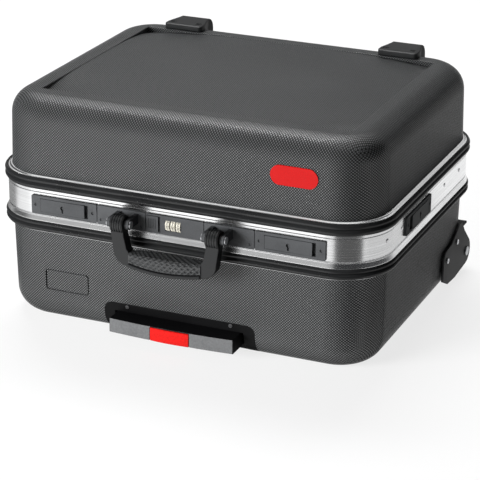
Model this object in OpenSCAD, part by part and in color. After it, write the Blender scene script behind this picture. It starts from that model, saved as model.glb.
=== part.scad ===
// Hard tool case on wheels, with a telescopic pull handle.
// +X is the case's right side, -Y its front, +Z up. The case lies flat on z = 0.
// The origin is the centre of the frame's plan, on the underside of the base.

/* [Case] */
// Width outside the aluminium frame
case_w = 490; // [440:1:560]
// Depth outside the aluminium frame
case_d = 390; // [350:1:460]
// Plan radius of the frame's corners
corner_r = 63; // [54:1:74]
// Height of the joint between base and lid
seam_z = 169; // [160:1:200]
// Height of the lid above that joint
lid_h = 113; // [90:1:140]
// Radius of the shells' long edges
edge_r = 30; // [22:1:36]
// Wall of the moulded shells
wall = 3.5; // [2.5:0.1:4.5]
// How far the shells stand in from the frame's face
shell_inset = 5.3; // [4.8:0.1:7]
// Lean of the shells' sides, per millimetre of height
draft = 0.024; // [0.01:0.002:0.04]

/* [Lid panel] */
// Distance of the sunk top panel from the frame's faces
panel_margin = 49; // [42:1:70]
// Rise of the panel's crown above the rim
panel_crown = 3.5; // [1:0.1:4]
// Depth of the panel's corners below the rim
panel_dip = 8; // [2:0.1:9]
// Ribs pressed into the lid panel's underside to stiffen it
panel_ribs = 3; // [0:1:5]

/* [Frame] */
// Wall of the aluminium sections
section_t = 2.5; // [1.8:0.1:3]
// Depth of the aluminium sections towards the inside
section_d = 12; // [11:0.5:14]
// Height of the base's bumper band
band_h = 12.8; // [10:0.2:16]
// Height of the lid's bumper band
lid_band_h = 13.8; // [10:0.2:16]
// Thickness of the bumper bands at their ridges
band_t = 3.9; // [2.5:0.1:5]
// Height of the bare aluminium below the joint
bare_h = 35.5; // [33:0.5:38]
// Height of the bare aluminium above the joint
lid_bare_h = 4.5; // [3:0.5:8]

/* [Locks] */
// Height of the lock plates
plate_h = 23.2; // [20:0.2:24]
// Thickness of the lock plates
plate_t = 2.6; // [2:0.1:4]
// How far the row of plates runs on over the bend of the front corners
row_over = 5; // [0:0.5:6]
// Width of a handle plate
handle_plate_w = 62.6; // [60:0.1:64]
// Width of the combination lock's plate
combo_w = 73.4; // [70:0.1:76]
// Length of a side latch plate
side_latch_w = 90; // [86:1:110]
// Place of the side latches' centre behind the case's middle
side_latch_y = -50; // [-60:1:-20]
// Distance from a lock plate's end to the slider's recess
lock_margin = 12; // [10:0.5:16]
// Height of a lock slider
slider_h = 16; // [12:0.5:17]
// Travel of a front lock's slider
slider_travel = 4; // [3:0.5:6]
// Travel of a side latch's slider
side_travel = 8; // [6:0.5:9]
// Radius of a digit wheel
digit_r = 8.6; // [8:0.1:9]
// Width of a digit wheel
digit_w = 5.4; // [4.5:0.1:5.8]
// Distance between digit wheels
digit_pitch = 6.9; // [6.6:0.1:7.4]

/* [Carrying handle] */
// Distance of the handle's pivot in front of the frame's face
pivot_reach = 24.5; // [22:0.5:30]
// Height of the pivot above the lock plates' middle
pivot_lift = 3; // [0:0.5:4]
// Radius of the handle's pins
handle_pin_r = 3.5; // [3:0.1:5]
// Half distance between the handle's arms
arm_x = 60; // [54:1:64]
// Width of an arm
arm_w = 16.5; // [14:0.5:18]
// Thickness of an arm
arm_t = 14; // [10:0.5:16]
// Drop from the pivot to the underside of the grip
handle_drop = 52; // [48:1:56]
// Thickness of the grip
grip_t = 20; // [17:0.5:22]
// Depth of the grip at its middle
grip_depth = 27; // [22:1:30]

/* [Telescopic handle] */
// Width of the housing let into the base
housing_w = 195; // [180:1:210]
// Height of the housing's top above the ground
housing_h = 41; // [38:0.5:46]
// Width of the pull bar
bar_w = 160; // [150:1:170]
// Height of the pull bar
bar_h = 18; // [16:0.5:20]
// Height of the bar's underside above the ground
bar_z = 12.5; // [11:0.5:14]
// Distance of the bar's front before the frame's face
bar_reach = 16; // [12:0.5:20]
// Half distance between the two tubes
tube_x = 62; // [50:1:66]
// Outer radius of the first tubes
tube_r = 10; // [9.5:0.1:10.5]
// Width of the red release button
button_w = 50; // [40:1:56]
// Travel of the release button
button_travel = 4; // [3:0.5:5]

/* [Wheels] */
// Radius of a wheel
wheel_r = 27.5; // [24:0.5:28]
// Width of a wheel
wheel_w = 22; // [18:0.5:24]
// Distance of the axle from the frame's rear face
axle_inset = 22.5; // [20:0.5:26]
// Height of the axle
axle_z = 28; // [28:0.5:34]
// Radius of the axle
axle_r = 4; // [3:0.1:5]

/* [Lid feet] */
// Width of a stand foot
foot_w = 52; // [44:1:60]
// Height of a stand foot above the lid
foot_h = 8; // [6:0.5:10]
// Distance of a foot's middle from the frame's side face
foot_inset = 98; // [94:1:130]

/* [Badge] */
// Width of the plain badge
badge_w = 58; // [48:1:64]
// Height of the plain badge
badge_h = 24; // [18:1:28]

/* [Hidden] */
$fn = 64;

// Clearances: loose between moving bodies, snug within a body, running on a shaft
loose = 0.3;
snug = 0.1;
run = 0.05;

// Half width and half depth of the frame's plan, and of the lid's sunk panel
hw = case_w / 2;
hd = case_d / 2;
panel_hw = hw - panel_margin;
panel_hd = hd - panel_margin;

// Places that keep their distance from the frame's faces
axle_y = hd - axle_inset;
foot_x = hw - foot_inset;

// Levels of the frame, from the bottom up
base_bare_z = seam_z - bare_h;
line_t = 1.4;
line_inset = 1.2;
line_z = base_bare_z - band_h - line_t;
lid_seam_z = seam_z + loose;
lid_bare_z = seam_z + lid_bare_h;
lid_lip_z = lid_bare_z + lid_band_h;
lid_lip_h = 3.6;
lid_lip_inset = 3.7;
flange_t = 5;
top_z = seam_z + lid_h;

// Middle height of the lock plates, and the frame's front and side faces
plate_z = seam_z - 3.4 - plate_h / 2;
side_plate_z = seam_z - 0.8 - plate_h / 2;
front_y = -hd;

// Offsets of the shells' sides from the frame's face where the edge radius starts
base_side = -(shell_inset + draft * (line_z - edge_r));
lid_side = -(shell_inset + draft * (lid_h - lid_bare_h - lid_band_h - edge_r));

// Outside of the base's front wall at a height above the ground
function base_wall_offset(z) = -(shell_inset + draft * max(0, line_z - z));

// ---------- Shapes used by several pieces ----------

// A block over the case's plan, grown or shrunk by off, from z0 to z1
module plan_block(off, z0, z1) {
  r = corner_r + off;
  h = z1 - z0;
  translate([-(hw + off), -(hd + off) + r, z0]) cube([2 * (hw + off), 2 * (hd + off - r), h]);
  translate([-(hw + off) + r, -(hd + off), z0]) cube([2 * (hw + off - r), 2 * (hd + off), h]);
  for (sx = [-1, 1], sy = [-1, 1])
    translate([sx * (hw + off - r), sy * (hd + off - r), z0]) cylinder(r = r, h = h);
}

// A section of [outward offset, height] points bent round the case's plan
module swept_ring(points) {
  cx = hw - corner_r;
  cy = hd - corner_r;
  corners = [[1, 1], [-1, 1], [-1, -1], [1, -1]];
  for (i = [0:3])
    translate([corners[i][0] * cx, corners[i][1] * cy, 0])
      rotate([0, 0, 90 * i])
        rotate_extrude(angle = 90, $fn = 96)
          polygon([for (p = points) [corner_r + p[0], p[1]]]);
  for (m = [0, 1])
    mirror([m, 0, 0])
      translate([0, cy, 0])
        rotate([90, 0, 0])
          linear_extrude(2 * cy)
            polygon([for (p = points) [hw + p[0], p[1]]]);
  for (m = [0, 1])
    mirror([0, m, 0])
      translate([-cx, 0, 0])
        rotate([90, 0, 90])
          linear_extrude(2 * cx)
            polygon([for (p = points) [hd + p[0], p[1]]]);
}

// A box from its two corners
module span(a, b) {
  translate(a) cube(b - a);
}

// A flat plate in the XZ plane with rounded corners, its front face at y
module rounded_plate(w, h, r, y, depth) {
  translate([-w / 2 + r, y, -h / 2]) cube([w - 2 * r, depth, h]);
  translate([-w / 2, y, -h / 2 + r]) cube([w, depth, h - 2 * r]);
  for (sx = [-1, 1], sz = [-1, 1])
    translate([sx * (w / 2 - r), y, sz * (h / 2 - r)])
      rotate([-90, 0, 0])
        cylinder(r = r, h = depth);
}

// A cylinder along X from x0 to x1
module rod_x(x0, x1, r) {
  translate([x0, 0, 0]) rotate([0, 90, 0]) cylinder(r = r, h = x1 - x0);
}

// A cylinder along Y from y0 to y1
module rod_y(y0, y1, r) {
  translate([0, y0, 0]) rotate([-90, 0, 0]) cylinder(r = r, h = y1 - y0);
}

// Puts a lock's parts on a side wall: side = 1 for the right, -1 for the left
module on_side(side) {
  mirror([side > 0 ? 0 : 1, 0, 0])
    translate([hw, side_latch_y, side_plate_z])
      rotate([0, 0, 90])
        mirror([1, 0, 0])
          children();
}

// Puts a lock's parts on the front wall: side = 1 for the right lock, -1 for the left
module on_front(side) {
  translate([side * lock_x, front_y, plate_z]) children();
}

// ---------- Shells ----------

// Points of a quarter arc of radius r round c, from the side towards the flat
function edge_arc(c, r, up) = [for (a = [0:15:90]) [c[0] + r * cos(a), c[1] + up * r * sin(a)]];

// Section of the base shell: side, rounded edge and a strip of the floor
base_rim_z = seam_z - flange_t - snug;
base_arc = [base_side - edge_r, edge_r];
floor_lap = 4;
base_section = concat(
  [[-shell_inset, base_rim_z], [-shell_inset, line_z]],
  edge_arc(base_arc, edge_r, -1),
  [[base_arc[0] - floor_lap, 0], [base_arc[0] - floor_lap, wall]],
  [for (p = [6:-1:0]) edge_arc(base_arc, edge_r - wall, -1)[p]],
  [[-shell_inset - wall, line_z], [-shell_inset - wall, base_rim_z]]
);

// Window cut in frame and shell for a lock's body
plate_gap = 0.6;
lock_in = combo_w / 2 + handle_plate_w + 2 * plate_gap;
lock_w = hw - corner_r + row_over - lock_in;
lock_x = lock_in + lock_w / 2;
body_short = 12;
lock_body_h = 16.4;
lock_body_d = section_d + 1;
combo_body_w = 50;
combo_body_h = 18.4;

module lock_windows() {
  g = snug;
  for (s = [-1, 1]) {
    translate([s * lock_x, front_y, plate_z])
      span([-(lock_w - body_short) / 2 - g, -1, -lock_body_h / 2 - g],
           [(lock_w - body_short) / 2 + g, section_d + 4, lock_body_h / 2 + g]);
    translate([s * hw, side_latch_y, side_plate_z])
      span([-section_d - 4, -(side_latch_w - body_short) / 2 - g, -lock_body_h / 2 - g],
           [section_d + 4, (side_latch_w - body_short) / 2 + g, lock_body_h / 2 + g]);
  }
  translate([0, front_y, plate_z])
    span([-combo_body_w / 2 - g, -1, -combo_body_h / 2 - g],
         [combo_body_w / 2 + g, section_d + 4, combo_body_h / 2 + g]);
}

// Well for a wheel, cut out of the base's rear corners
well_x = hw - 49;
well_y = axle_y - wheel_r - 12;
well_z = axle_z + wheel_r + 14;
well_t = 3.2;

module wheel_well_cut() {
  for (s = [-1, 1])
    translate([s * (well_x + 50), well_y + 50, 0])
      span([-50, -50, -1], [50, 50, well_z]);
}

// Sunk field for an owner's label on the base's front
label_w = 58;
label_h = 27;
label_x = -(hw - 98);
label_z = 56;
label_depth = 0.9;

// Place for the telescopic handle's housing in the base's front edge, grown all round by g
notch_y = front_y + 30;
housing_r = 11;
module housing_form(g) {
  w = housing_w / 2 + g;
  h = housing_h + g;
  r = housing_r + g;
  span([-w, front_y - 1, -1], [w, notch_y + g, h - r]);
  span([-w + r, front_y - 1, -1], [w - r, notch_y + g, h]);
  for (s = [-1, 1])
    translate([s * (w - r), 0, h - r]) rod_y(front_y - 1, notch_y + g, r);
}

module base_shell() {
  color("#3a3b3d")
    difference() {
      union() {
        swept_ring(base_section);
        plan_block(base_arc[0] - floor_lap / 2, 0, wall);
      }
      lock_windows();
      wheel_well_cut();
      housing_form(snug);
      translate([label_x, front_y - base_wall_offset(label_z) + label_depth, label_z])
        rounded_plate(label_w, label_h, 4, -10, 10);
      bracket_screw_bores();
    }
}

// Section of the lid shell, from its rim up to a strip of the top
lid_rim_z = lid_seam_z + flange_t + snug;
lid_arc = [lid_side - edge_r, top_z - edge_r];
lid_section = concat(
  [[-shell_inset, lid_rim_z], [-shell_inset, lid_lip_z]],
  edge_arc(lid_arc, edge_r, 1),
  [[lid_arc[0] - floor_lap, top_z], [lid_arc[0] - floor_lap, top_z - wall]],
  [for (p = [6:-1:0]) edge_arc(lid_arc, edge_r - wall, 1)[p]],
  [[-shell_inset - wall, lid_lip_z], [-shell_inset - wall, lid_rim_z]]
);

// Height of the sunk panel above the rim: crowned, level along its edges, low at its corners
panel_step = 0.4;
function panel_height(u, v) =
  panel_crown * (1 - u * u) * (1 - v * v) - panel_dip * pow(u, 4) * pow(v, 4) - panel_step;

riser_depth = panel_dip + panel_step + wall;
panel_nx = 14;
panel_ny = 12;

// The crowned panel as a sheet of the shells' wall, grown a little into the riser round it
module crowned_panel(grow) {
  n = (panel_nx + 1) * (panel_ny + 1);
  us = [for (i = [0:panel_nx]) 2 * i / panel_nx - 1];
  vs = [for (j = [0:panel_ny]) 2 * j / panel_ny - 1];
  upper = [for (v = vs, u = us)
    [u * (panel_hw + grow), v * (panel_hd + grow), top_z + panel_height(u, v)]];
  lower = [for (v = vs, u = us)
    [u * (panel_hw + grow), v * (panel_hd + grow), top_z + panel_height(u, v) - wall]];
  function at(i, j) = j * (panel_nx + 1) + i;
  faces = concat(
    [for (j = [0:panel_ny - 1], i = [0:panel_nx - 1]) each
      [[at(i, j), at(i, j + 1), at(i + 1, j + 1)], [at(i, j), at(i + 1, j + 1), at(i + 1, j)]]],
    [for (j = [0:panel_ny - 1], i = [0:panel_nx - 1]) each
      [[n + at(i, j), n + at(i + 1, j + 1), n + at(i, j + 1)],
       [n + at(i, j), n + at(i + 1, j), n + at(i + 1, j + 1)]]],
    [for (i = [0:panel_nx - 1]) each
      [[at(i, 0), at(i + 1, 0), n + at(i + 1, 0)], [at(i, 0), n + at(i + 1, 0), n + at(i, 0)]]],
    [for (i = [0:panel_nx - 1]) each
      [[at(i, panel_ny), n + at(i, panel_ny), n + at(i + 1, panel_ny)],
       [at(i, panel_ny), n + at(i + 1, panel_ny), at(i + 1, panel_ny)]]],
    [for (j = [0:panel_ny - 1]) each
      [[at(0, j), n + at(0, j), n + at(0, j + 1)], [at(0, j), n + at(0, j + 1), at(0, j + 1)]]],
    [for (j = [0:panel_ny - 1]) each
      [[at(panel_nx, j), n + at(panel_nx, j + 1), n + at(panel_nx, j)],
       [at(panel_nx, j), at(panel_nx, j + 1), n + at(panel_nx, j + 1)]]]
  );
  polyhedron(points = concat(upper, lower), faces = faces);
}

// Place of the plain badge on the lid's front
badge_x = hw - 101;
badge_z = top_z - 48;
badge_t = 1.6;
badge_sink = 0.8;
function lid_wall_offset(z) = -(shell_inset + draft * max(0, z - lid_lip_z));
badge_y = front_y - lid_wall_offset(badge_z);

// A stadium plate in the XZ plane, its front face at y
module stadium(w, h, y, depth) {
  translate([-w / 2 + h / 2, y, -h / 2]) cube([w - h, depth, h]);
  for (s = [-1, 1])
    translate([s * (w / 2 - h / 2), y, 0]) rotate([-90, 0, 0]) cylinder(r = h / 2, h = depth);
}

module lid_shell() {
  rib_w = 6;
  rib_h = 3;
  color("#3a3b3d")
    difference() {
      union() {
        difference() {
          union() {
            swept_ring(lid_section);
            plan_block(lid_arc[0] - floor_lap / 2, top_z - wall, top_z);
          }
          span([-panel_hw, -panel_hd, top_z - wall - 1], [panel_hw, panel_hd, top_z + 1]);
        }
        difference() {
          span([-panel_hw - wall, -panel_hd - wall, top_z - riser_depth - 0.5],
               [panel_hw + wall, panel_hd + wall, top_z - 0.5]);
          span([-panel_hw, -panel_hd, top_z - riser_depth - 2], [panel_hw, panel_hd, top_z + 1]);
        }
        crowned_panel(wall / 2);
        if (panel_ribs > 0)
          for (i = [1:panel_ribs])
            translate([0, panel_hd * (2 * i / (panel_ribs + 1) - 1), 0])
              span([-panel_hw - 1, -rib_w / 2, top_z - wall - rib_h],
                   [panel_hw + 1, rib_w / 2, top_z - wall + 0.5]);
      }
      translate([badge_x, badge_y + badge_sink, badge_z])
        stadium(badge_w + 2 * snug, badge_h + 2 * snug, -10, 10);
      foot_screw_bores();
    }
}

module badge_plate() {
  color("#d8211b")
    translate([badge_x, badge_y + badge_sink - snug, badge_z])
      stadium(badge_w, badge_h, -badge_t, badge_t);
}

// ---------- Aluminium frames, bumper bands and seal ----------

channel = shell_inset + wall + 0.4;
seal_in = 8;
seal_out = 4;
seal_sink = 2;
groove = 0.5;
groove_z = [base_bare_z + 6.7, base_bare_z + 7.9];
ledge = 2;

base_frame_section = concat(
  [[-line_inset, line_z], [-line_inset, line_z + line_t], [0, line_z + line_t]],
  [[0, base_bare_z], [ledge, base_bare_z], [ledge, base_bare_z + 0.6], [0, groove_z[0] - 1]],
  [for (g = groove_z) each [[0, g - 0.4], [-groove, g], [0, g + 0.4]]],
  [[0, seam_z], [-seal_out, seam_z], [-seal_out, seam_z - seal_sink]],
  [[-seal_in, seam_z - seal_sink], [-seal_in, seam_z], [-section_d, seam_z]],
  [[-section_d, base_bare_z + 3], [-channel, base_bare_z + 3], [-channel, seam_z - flange_t]],
  [[-section_t, seam_z - flange_t], [-section_t, line_z + 2 * line_t]],
  [[-shell_inset + snug, line_z + 2 * line_t], [-shell_inset + snug, line_z]]
);

module base_frame() {
  color("#d9dadb")
    difference() {
      swept_ring(base_frame_section);
      lock_windows();
    }
}

lid_frame_section = [
  [0, lid_seam_z], [0, lid_lip_z], [-lid_lip_inset, lid_lip_z],
  [-lid_lip_inset, lid_lip_z + lid_lip_h], [-shell_inset + snug, lid_lip_z + lid_lip_h],
  [-shell_inset + snug, lid_lip_z - 2], [-section_t, lid_lip_z - 2],
  [-section_t, lid_seam_z + flange_t], [-channel, lid_seam_z + flange_t],
  [-channel, lid_lip_z], [-section_d, lid_lip_z], [-section_d, lid_seam_z]
];

module lid_frame() {
  color("#d9dadb") swept_ring(lid_frame_section);
}

// A bumper band with two soft ridges, standing on z0
band_steps = 12;
function band_section(z0, h) = concat(
  [[snug, z0]],
  [for (i = [0:band_steps])
    [band_t * (0.55 + 0.45 * abs(sin(360 * i / band_steps))), z0 + h * i / band_steps]],
  [[snug, z0 + h]]
);

module base_band() {
  color("#2b2c2e") swept_ring(band_section(base_bare_z - band_h + snug, band_h - 2 * snug));
}

module lid_band() {
  color("#2b2c2e") swept_ring(band_section(lid_bare_z + snug, lid_band_h - 2 * snug));
}

module frame_seal() {
  color("#1b1b1c")
    swept_ring([[-seal_out - snug, seam_z - seal_sink], [-seal_out - snug, seam_z + 0.05],
                [-seal_in + snug, seam_z + 0.05], [-seal_in + snug, seam_z - seal_sink]]);
}

// Small domed rivets on both sides of each side latch, one of them on the front corner's bend
rivet_r = 2.6;
rivet_gap = [-9, 59, 117];
rivet_bend = -15;
module rivet() {
  rotate([0, 90, 0]) cylinder(r1 = rivet_r, r2 = rivet_r * 0.6, h = 1.1, $fn = 24);
}
module frame_rivets() {
  first = side_latch_y - side_latch_w / 2;
  last = side_latch_y + side_latch_w / 2;
  color("#c9cacc")
    for (m = [0, 1])
      mirror([m, 0, 0])
        translate([0, 0, plate_z + 4.5]) {
          for (g = rivet_gap)
            translate([hw, g < 0 ? first + g : last + g, 0]) rivet();
          translate([hw - corner_r, -hd + corner_r, 0])
            rotate([0, 0, rivet_bend])
              translate([corner_r, 0, 0])
                rivet();
        }
}

// ---------- Hinges at the rear ----------

hinge_x = [-(hw - 95), 0, hw - 95];
hinge_len = 56;
knuckle_r = 3.2;
hinge_pin_r = 1.6;
hinge_y = hd + knuckle_r + loose;
leaf_t = 1.6;
leaf_low = 26;
leaf_high = lid_bare_h - loose - 0.5;

module hinge_base_leaves() {
  color("#8f9194")
    for (x = hinge_x)
      translate([x, 0, 0])
        difference() {
          union() {
            span([-hinge_len / 2, hd, seam_z - leaf_low], [hinge_len / 2, hd + leaf_t, seam_z - 4]);
            for (s = [-1, 1])
              translate([s * hinge_len / 3, hinge_y, seam_z]) {
                rod_x(-hinge_len / 6, hinge_len / 6, knuckle_r);
                span([-hinge_len / 6, hd - hinge_y, -6], [hinge_len / 6, hd - hinge_y + leaf_t, 0]);
              }
          }
          translate([0, hinge_y, seam_z]) rod_x(-hinge_len, hinge_len, hinge_pin_r + 0.02);
        }
}

module hinge_lid_leaves() {
  w = hinge_len / 3 - 2 * loose;
  color("#8f9194")
    for (x = hinge_x)
      translate([x, 0, 0])
        difference() {
          union() {
            translate([0, hinge_y, seam_z]) rod_x(-w / 2, w / 2, knuckle_r);
            span([-w / 2, hd, seam_z + 1], [w / 2, hd + leaf_t, seam_z + leaf_high]);
          }
          translate([0, hinge_y, seam_z]) rod_x(-hinge_len, hinge_len, hinge_pin_r + run);
        }
}

module hinge_pins() {
  color("#b9bbbd")
    for (x = hinge_x)
      translate([x, hinge_y, seam_z]) rod_x(-hinge_len / 2 - 1, hinge_len / 2 + 1, hinge_pin_r);
}

// ---------- Sliding locks ----------

pocket_d = 4.4;
stem_w = 16;
stem_h = 5;
bolt_y = section_d + 2.2;
bolt_t = 2.6;
bolt_h = 4;
bolt_reach = 4;
keeper_gap = 1;

// A lock's plate and body, in its own place: the wall is at y = 0, the outside at y < 0.
// The slider starts at the low-x end of its recess and travels towards x > 0
module lock_body(w, travel) {
  body_w = w - body_short;
  recess = w - 2 * lock_margin;
  stem_end = (stem_w + travel) / 2 + loose;
  difference() {
    union() {
      rounded_plate(w, plate_h, 1.5, -plate_t, plate_t);
      span([-body_w / 2, 0, -lock_body_h / 2], [body_w / 2, lock_body_d, lock_body_h / 2]);
    }
    span([-recess / 2, -plate_t - 1, -slider_h / 2 - loose],
         [recess / 2, pocket_d - plate_t, slider_h / 2 + loose]);
    span([-stem_end, -1, -stem_h / 2 - loose], [stem_end, lock_body_d + 1, stem_h / 2 + loose]);
    for (s = [-1, 1])
      translate([s * (w / 2 - 5.5), 0, 0]) rod_y(-plate_t - 1, -plate_t + 1.2, 1.8, $fn = 24);
  }
}

// A lock's slider with its stem and the bolt that slides into the keeper
module lock_slider(w, travel) {
  slider_w = w - 2 * lock_margin - travel - 2 * loose;
  translate([-travel / 2, 0, 0])
    difference() {
      union() {
        rounded_plate(slider_w, slider_h, 1.2, -plate_t - 0.5, pocket_d - loose);
        span([-stem_w / 2, -1, -stem_h / 2], [stem_w / 2, bolt_y + bolt_t, stem_h / 2]);
        span([0, bolt_y, -bolt_h / 2], [stem_w / 2 + bolt_reach, bolt_y + bolt_t, bolt_h / 2]);
      }
      rod_y(-plate_t - 2, -plate_t + 1.4, 2.6, $fn = 32);
      span([-1, -plate_t - 2, -6], [1, -plate_t + 1.4, 0]);
    }
}

// The lid's tongue beside the bolt's end, with the notch that takes the bolt
module keeper(lock_z, travel) {
  drop = seam_z + 3 - lock_z;
  near = (stem_w - travel) / 2 + bolt_reach + keeper_gap;
  far = near + travel + 6;
  tab_t = 2.4;
  difference() {
    union() {
      span([near, bolt_y, -bolt_h / 2 - 5], [far, bolt_y + bolt_t, drop]);
      span([near, section_d, drop - tab_t], [far, bolt_y + bolt_t, drop]);
      span([near, section_d, drop - tab_t], [far, section_d + 2, drop + 8]);
    }
    span([near - 1, bolt_y - 1, -bolt_h / 2 - 0.8],
         [near + travel + 1, bolt_y + bolt_t + 1, bolt_h / 2 + 0.8]);
  }
}

module lid_keepers() {
  color("#9c9ea1")
    for (s = [-1, 1]) {
      on_front(s) keeper(plate_z, slider_travel);
      on_side(s) keeper(side_plate_z, side_travel);
    }
}

module front_lock_body(side) { color("#333436") on_front(side) lock_body(lock_w, slider_travel); }
module front_lock_slider(side) { color("#47484a") on_front(side) lock_slider(lock_w, slider_travel); }
module side_latch_body(side) { color("#333436") on_side(side) lock_body(side_latch_w, side_travel); }
module side_latch_slider(side) { color("#47484a") on_side(side) lock_slider(side_latch_w, side_travel); }
module lock_body_left() { front_lock_body(-1); }
module lock_body_right() { front_lock_body(1); }
module lock_slider_left() { front_lock_slider(-1); }
module lock_slider_right() { front_lock_slider(1); }
module side_latch_body_left() { side_latch_body(-1); }
module side_latch_body_right() { side_latch_body(1); }
module side_latch_slider_left() { side_latch_slider(-1); }
module side_latch_slider_right() { side_latch_slider(1); }

// ---------- Combination lock ----------

digit_x = [-2 - digit_pitch, -2, -2 + digit_pitch];
digit_depth = 6.6;
digit_y = front_y - plate_t + digit_depth;
digit_cavity = digit_r + 0.7;
shaft_r = 2;
release_w = 15;
release_travel = 2;
release_x = -combo_w / 2 + release_w / 2 + 1;
combo_body_d = 15;

module combination_body() {
  color("#333436")
    translate([0, front_y, plate_z])
      difference() {
        union() {
          rounded_plate(combo_w, plate_h, 1.2, -plate_t, plate_t);
          span([-combo_body_w / 2, 0, -combo_body_h / 2],
               [combo_body_w / 2, combo_body_d, combo_body_h / 2]);
        }
        for (x = digit_x)
          translate([x, digit_y - front_y, 0])
            rod_x(-digit_w / 2 - loose, digit_w / 2 + loose, digit_cavity - 0.4);
        translate([0, digit_y - front_y, 0]) rod_x(-20, 18, shaft_r + 0.02);
        span([release_x - release_w / 2 - snug, -plate_t - 1, -plate_h / 2 + 2],
             [release_x + release_w / 2 + release_travel + loose, -0.8, plate_h / 2 - 2]);
      }
}

module combination_release() {
  color("#3d3e40")
    translate([release_x, front_y, plate_z])
      difference() {
        rounded_plate(release_w, plate_h - 4 - 2 * loose, 1, -plate_t - 0.6, plate_t - 0.8 + 0.6 - 0.1);
        for (i = [-2:2])
          translate([i * 2.2, 0, 0]) span([-0.4, -plate_t - 1, -6], [0.4, -plate_t - 0.2, 6]);
      }
}

module digit_wheel_shaft() {
  color("#b9bbbd") translate([0, digit_y, plate_z]) rod_x(-19.9, 17.9, shaft_r);
}

// One digit wheel: ten flats with finger notches between them
module digit_wheel(i) {
  color("#e9e4d2")
    translate([digit_x[i], digit_y, plate_z])
      difference() {
        rod_x(-digit_w / 2, digit_w / 2, digit_r - 0.2);
        rod_x(-digit_w, digit_w, shaft_r + run);
        for (k = [0:9])
          rotate([36 * k + 18, 0, 0])
            translate([0, 0, digit_r + 0.3]) rod_x(-digit_w, digit_w, 0.9, $fn = 16);
      }
}
module digit_wheel_1() { digit_wheel(0); }
module digit_wheel_2() { digit_wheel(1); }
module digit_wheel_3() { digit_wheel(2); }

// ---------- Carrying handle ----------

pivot_y = front_y - pivot_reach;
pivot_z = plate_z + pivot_lift;
ear_t = 5.2;
ear_r = 6;
hub_r = 10.5;
knuckle_w = arm_w;
handle_plate_x = combo_w / 2 + handle_plate_w / 2 + plate_gap;
ear_in = arm_x - knuckle_w / 2 - loose - ear_t;
ear_out = arm_x + knuckle_w / 2 + loose;

module handle_bracket() {
  difference() {
    union() {
      translate([handle_plate_x, front_y, plate_z])
        rounded_plate(handle_plate_w, plate_h, 1.2, -plate_t, plate_t);
      for (x = [ear_in, ear_out])
        translate([x, 0, pivot_z]) {
          translate([0, pivot_y, 0]) rod_x(0, ear_t, ear_r);
          span([0, pivot_y, -ear_r], [ear_t, front_y - plate_t + 0.5, ear_r]);
        }
    }
    translate([0, pivot_y, pivot_z])
      rod_x(ear_in - 1, ear_out + ear_t + 1, handle_pin_r + 0.02);
    for (s = [-1, 1])
      translate([handle_plate_x + s * (handle_plate_w / 2 - 5), front_y, plate_z - 6])
        rod_y(-plate_t - 1, -plate_t + 1, 1.8, $fn = 24);
  }
}
module handle_bracket_right() { color("#2f3032") handle_bracket(); }
module handle_bracket_left() { color("#2f3032") mirror([1, 0, 0]) handle_bracket(); }

module handle_pins() {
  head_t = 1.4;
  color("#c9cacc")
    for (m = [0, 1])
      mirror([m, 0, 0])
        translate([0, pivot_y, pivot_z]) {
          rod_x(ear_in, ear_out + ear_t, handle_pin_r);
          rod_x(ear_in - head_t, ear_in, handle_pin_r + 1.2);
          rod_x(ear_out + ear_t, ear_out + ear_t + head_t, handle_pin_r + 1.2);
        }
}

// Outline of the handle seen from the front, with its pivot at z = 0
arm_taper = 3;
grip_bow = 3;
bend_r = 18;
hub_drop = hub_r + 1;
function bow(x, half) = grip_bow * (1 - pow(x / half, 2));
half_out = arm_x + arm_w / 2 - arm_taper;
half_in = arm_x - arm_w / 2 - arm_taper;
bow_steps = 12;
grip_top = -handle_drop + grip_t;

// Underside from right to left, then the arms' outer sides up to the pivots
outer_line = concat(
  [[arm_x + arm_w / 2, 0], [arm_x + arm_w / 2, -hub_drop]],
  [for (a = [0:15:90]) [half_out - bend_r + bend_r * cos(a),
                        -handle_drop + grip_bow + bend_r - bend_r * sin(a)]],
  [for (i = [1:bow_steps - 1])
    let (x = (half_out - bend_r) * (1 - 2 * i / bow_steps))
    [x, -handle_drop + grip_bow - bow(x, half_out - bend_r)]],
  [for (a = [90:-15:0]) [-half_out + bend_r - bend_r * cos(a),
                         -handle_drop + grip_bow + bend_r - bend_r * sin(a)]],
  [[-arm_x - arm_w / 2, -hub_drop], [-arm_x - arm_w / 2, 0]]
);
inner_r = 7;
inner_line = concat(
  [[-arm_x + arm_w / 2, 0], [-arm_x + arm_w / 2, -hub_drop]],
  [for (a = [0:30:90]) [-half_in + inner_r - inner_r * cos(a), grip_top + inner_r - inner_r * sin(a)]],
  [for (a = [90:-30:0]) [half_in - inner_r + inner_r * cos(a), grip_top + inner_r - inner_r * sin(a)]],
  [[arm_x - arm_w / 2, -hub_drop], [arm_x - arm_w / 2, 0]]
);

// The U of the handle, extruded over a depth centred on the pivot
module handle_u(depth) {
  translate([0, pivot_y + depth / 2, pivot_z])
    rotate([90, 0, 0])
      linear_extrude(depth)
        polygon(concat(outer_line, inner_line));
}

// Plan of the grip between the arms, bulging towards its middle, grown by g
pad_half = half_in - 3;
pad_narrow = 5.5;
module grip_plan(g) {
  n = 16;
  half_depth = grip_depth / 2 + g;
  translate([0, pivot_y - 1, 0])
    linear_extrude(pivot_z)
      polygon(concat(
        [for (i = [0:n]) let (x = pad_half * (1 - 2 * i / n))
          [x, half_depth - pad_narrow * pow(x / pad_half, 2)]],
        [for (i = [0:n]) let (x = -pad_half * (1 - 2 * i / n))
          [x, -half_depth + pad_narrow * pow(x / pad_half, 2)]]
      ));
}

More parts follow.
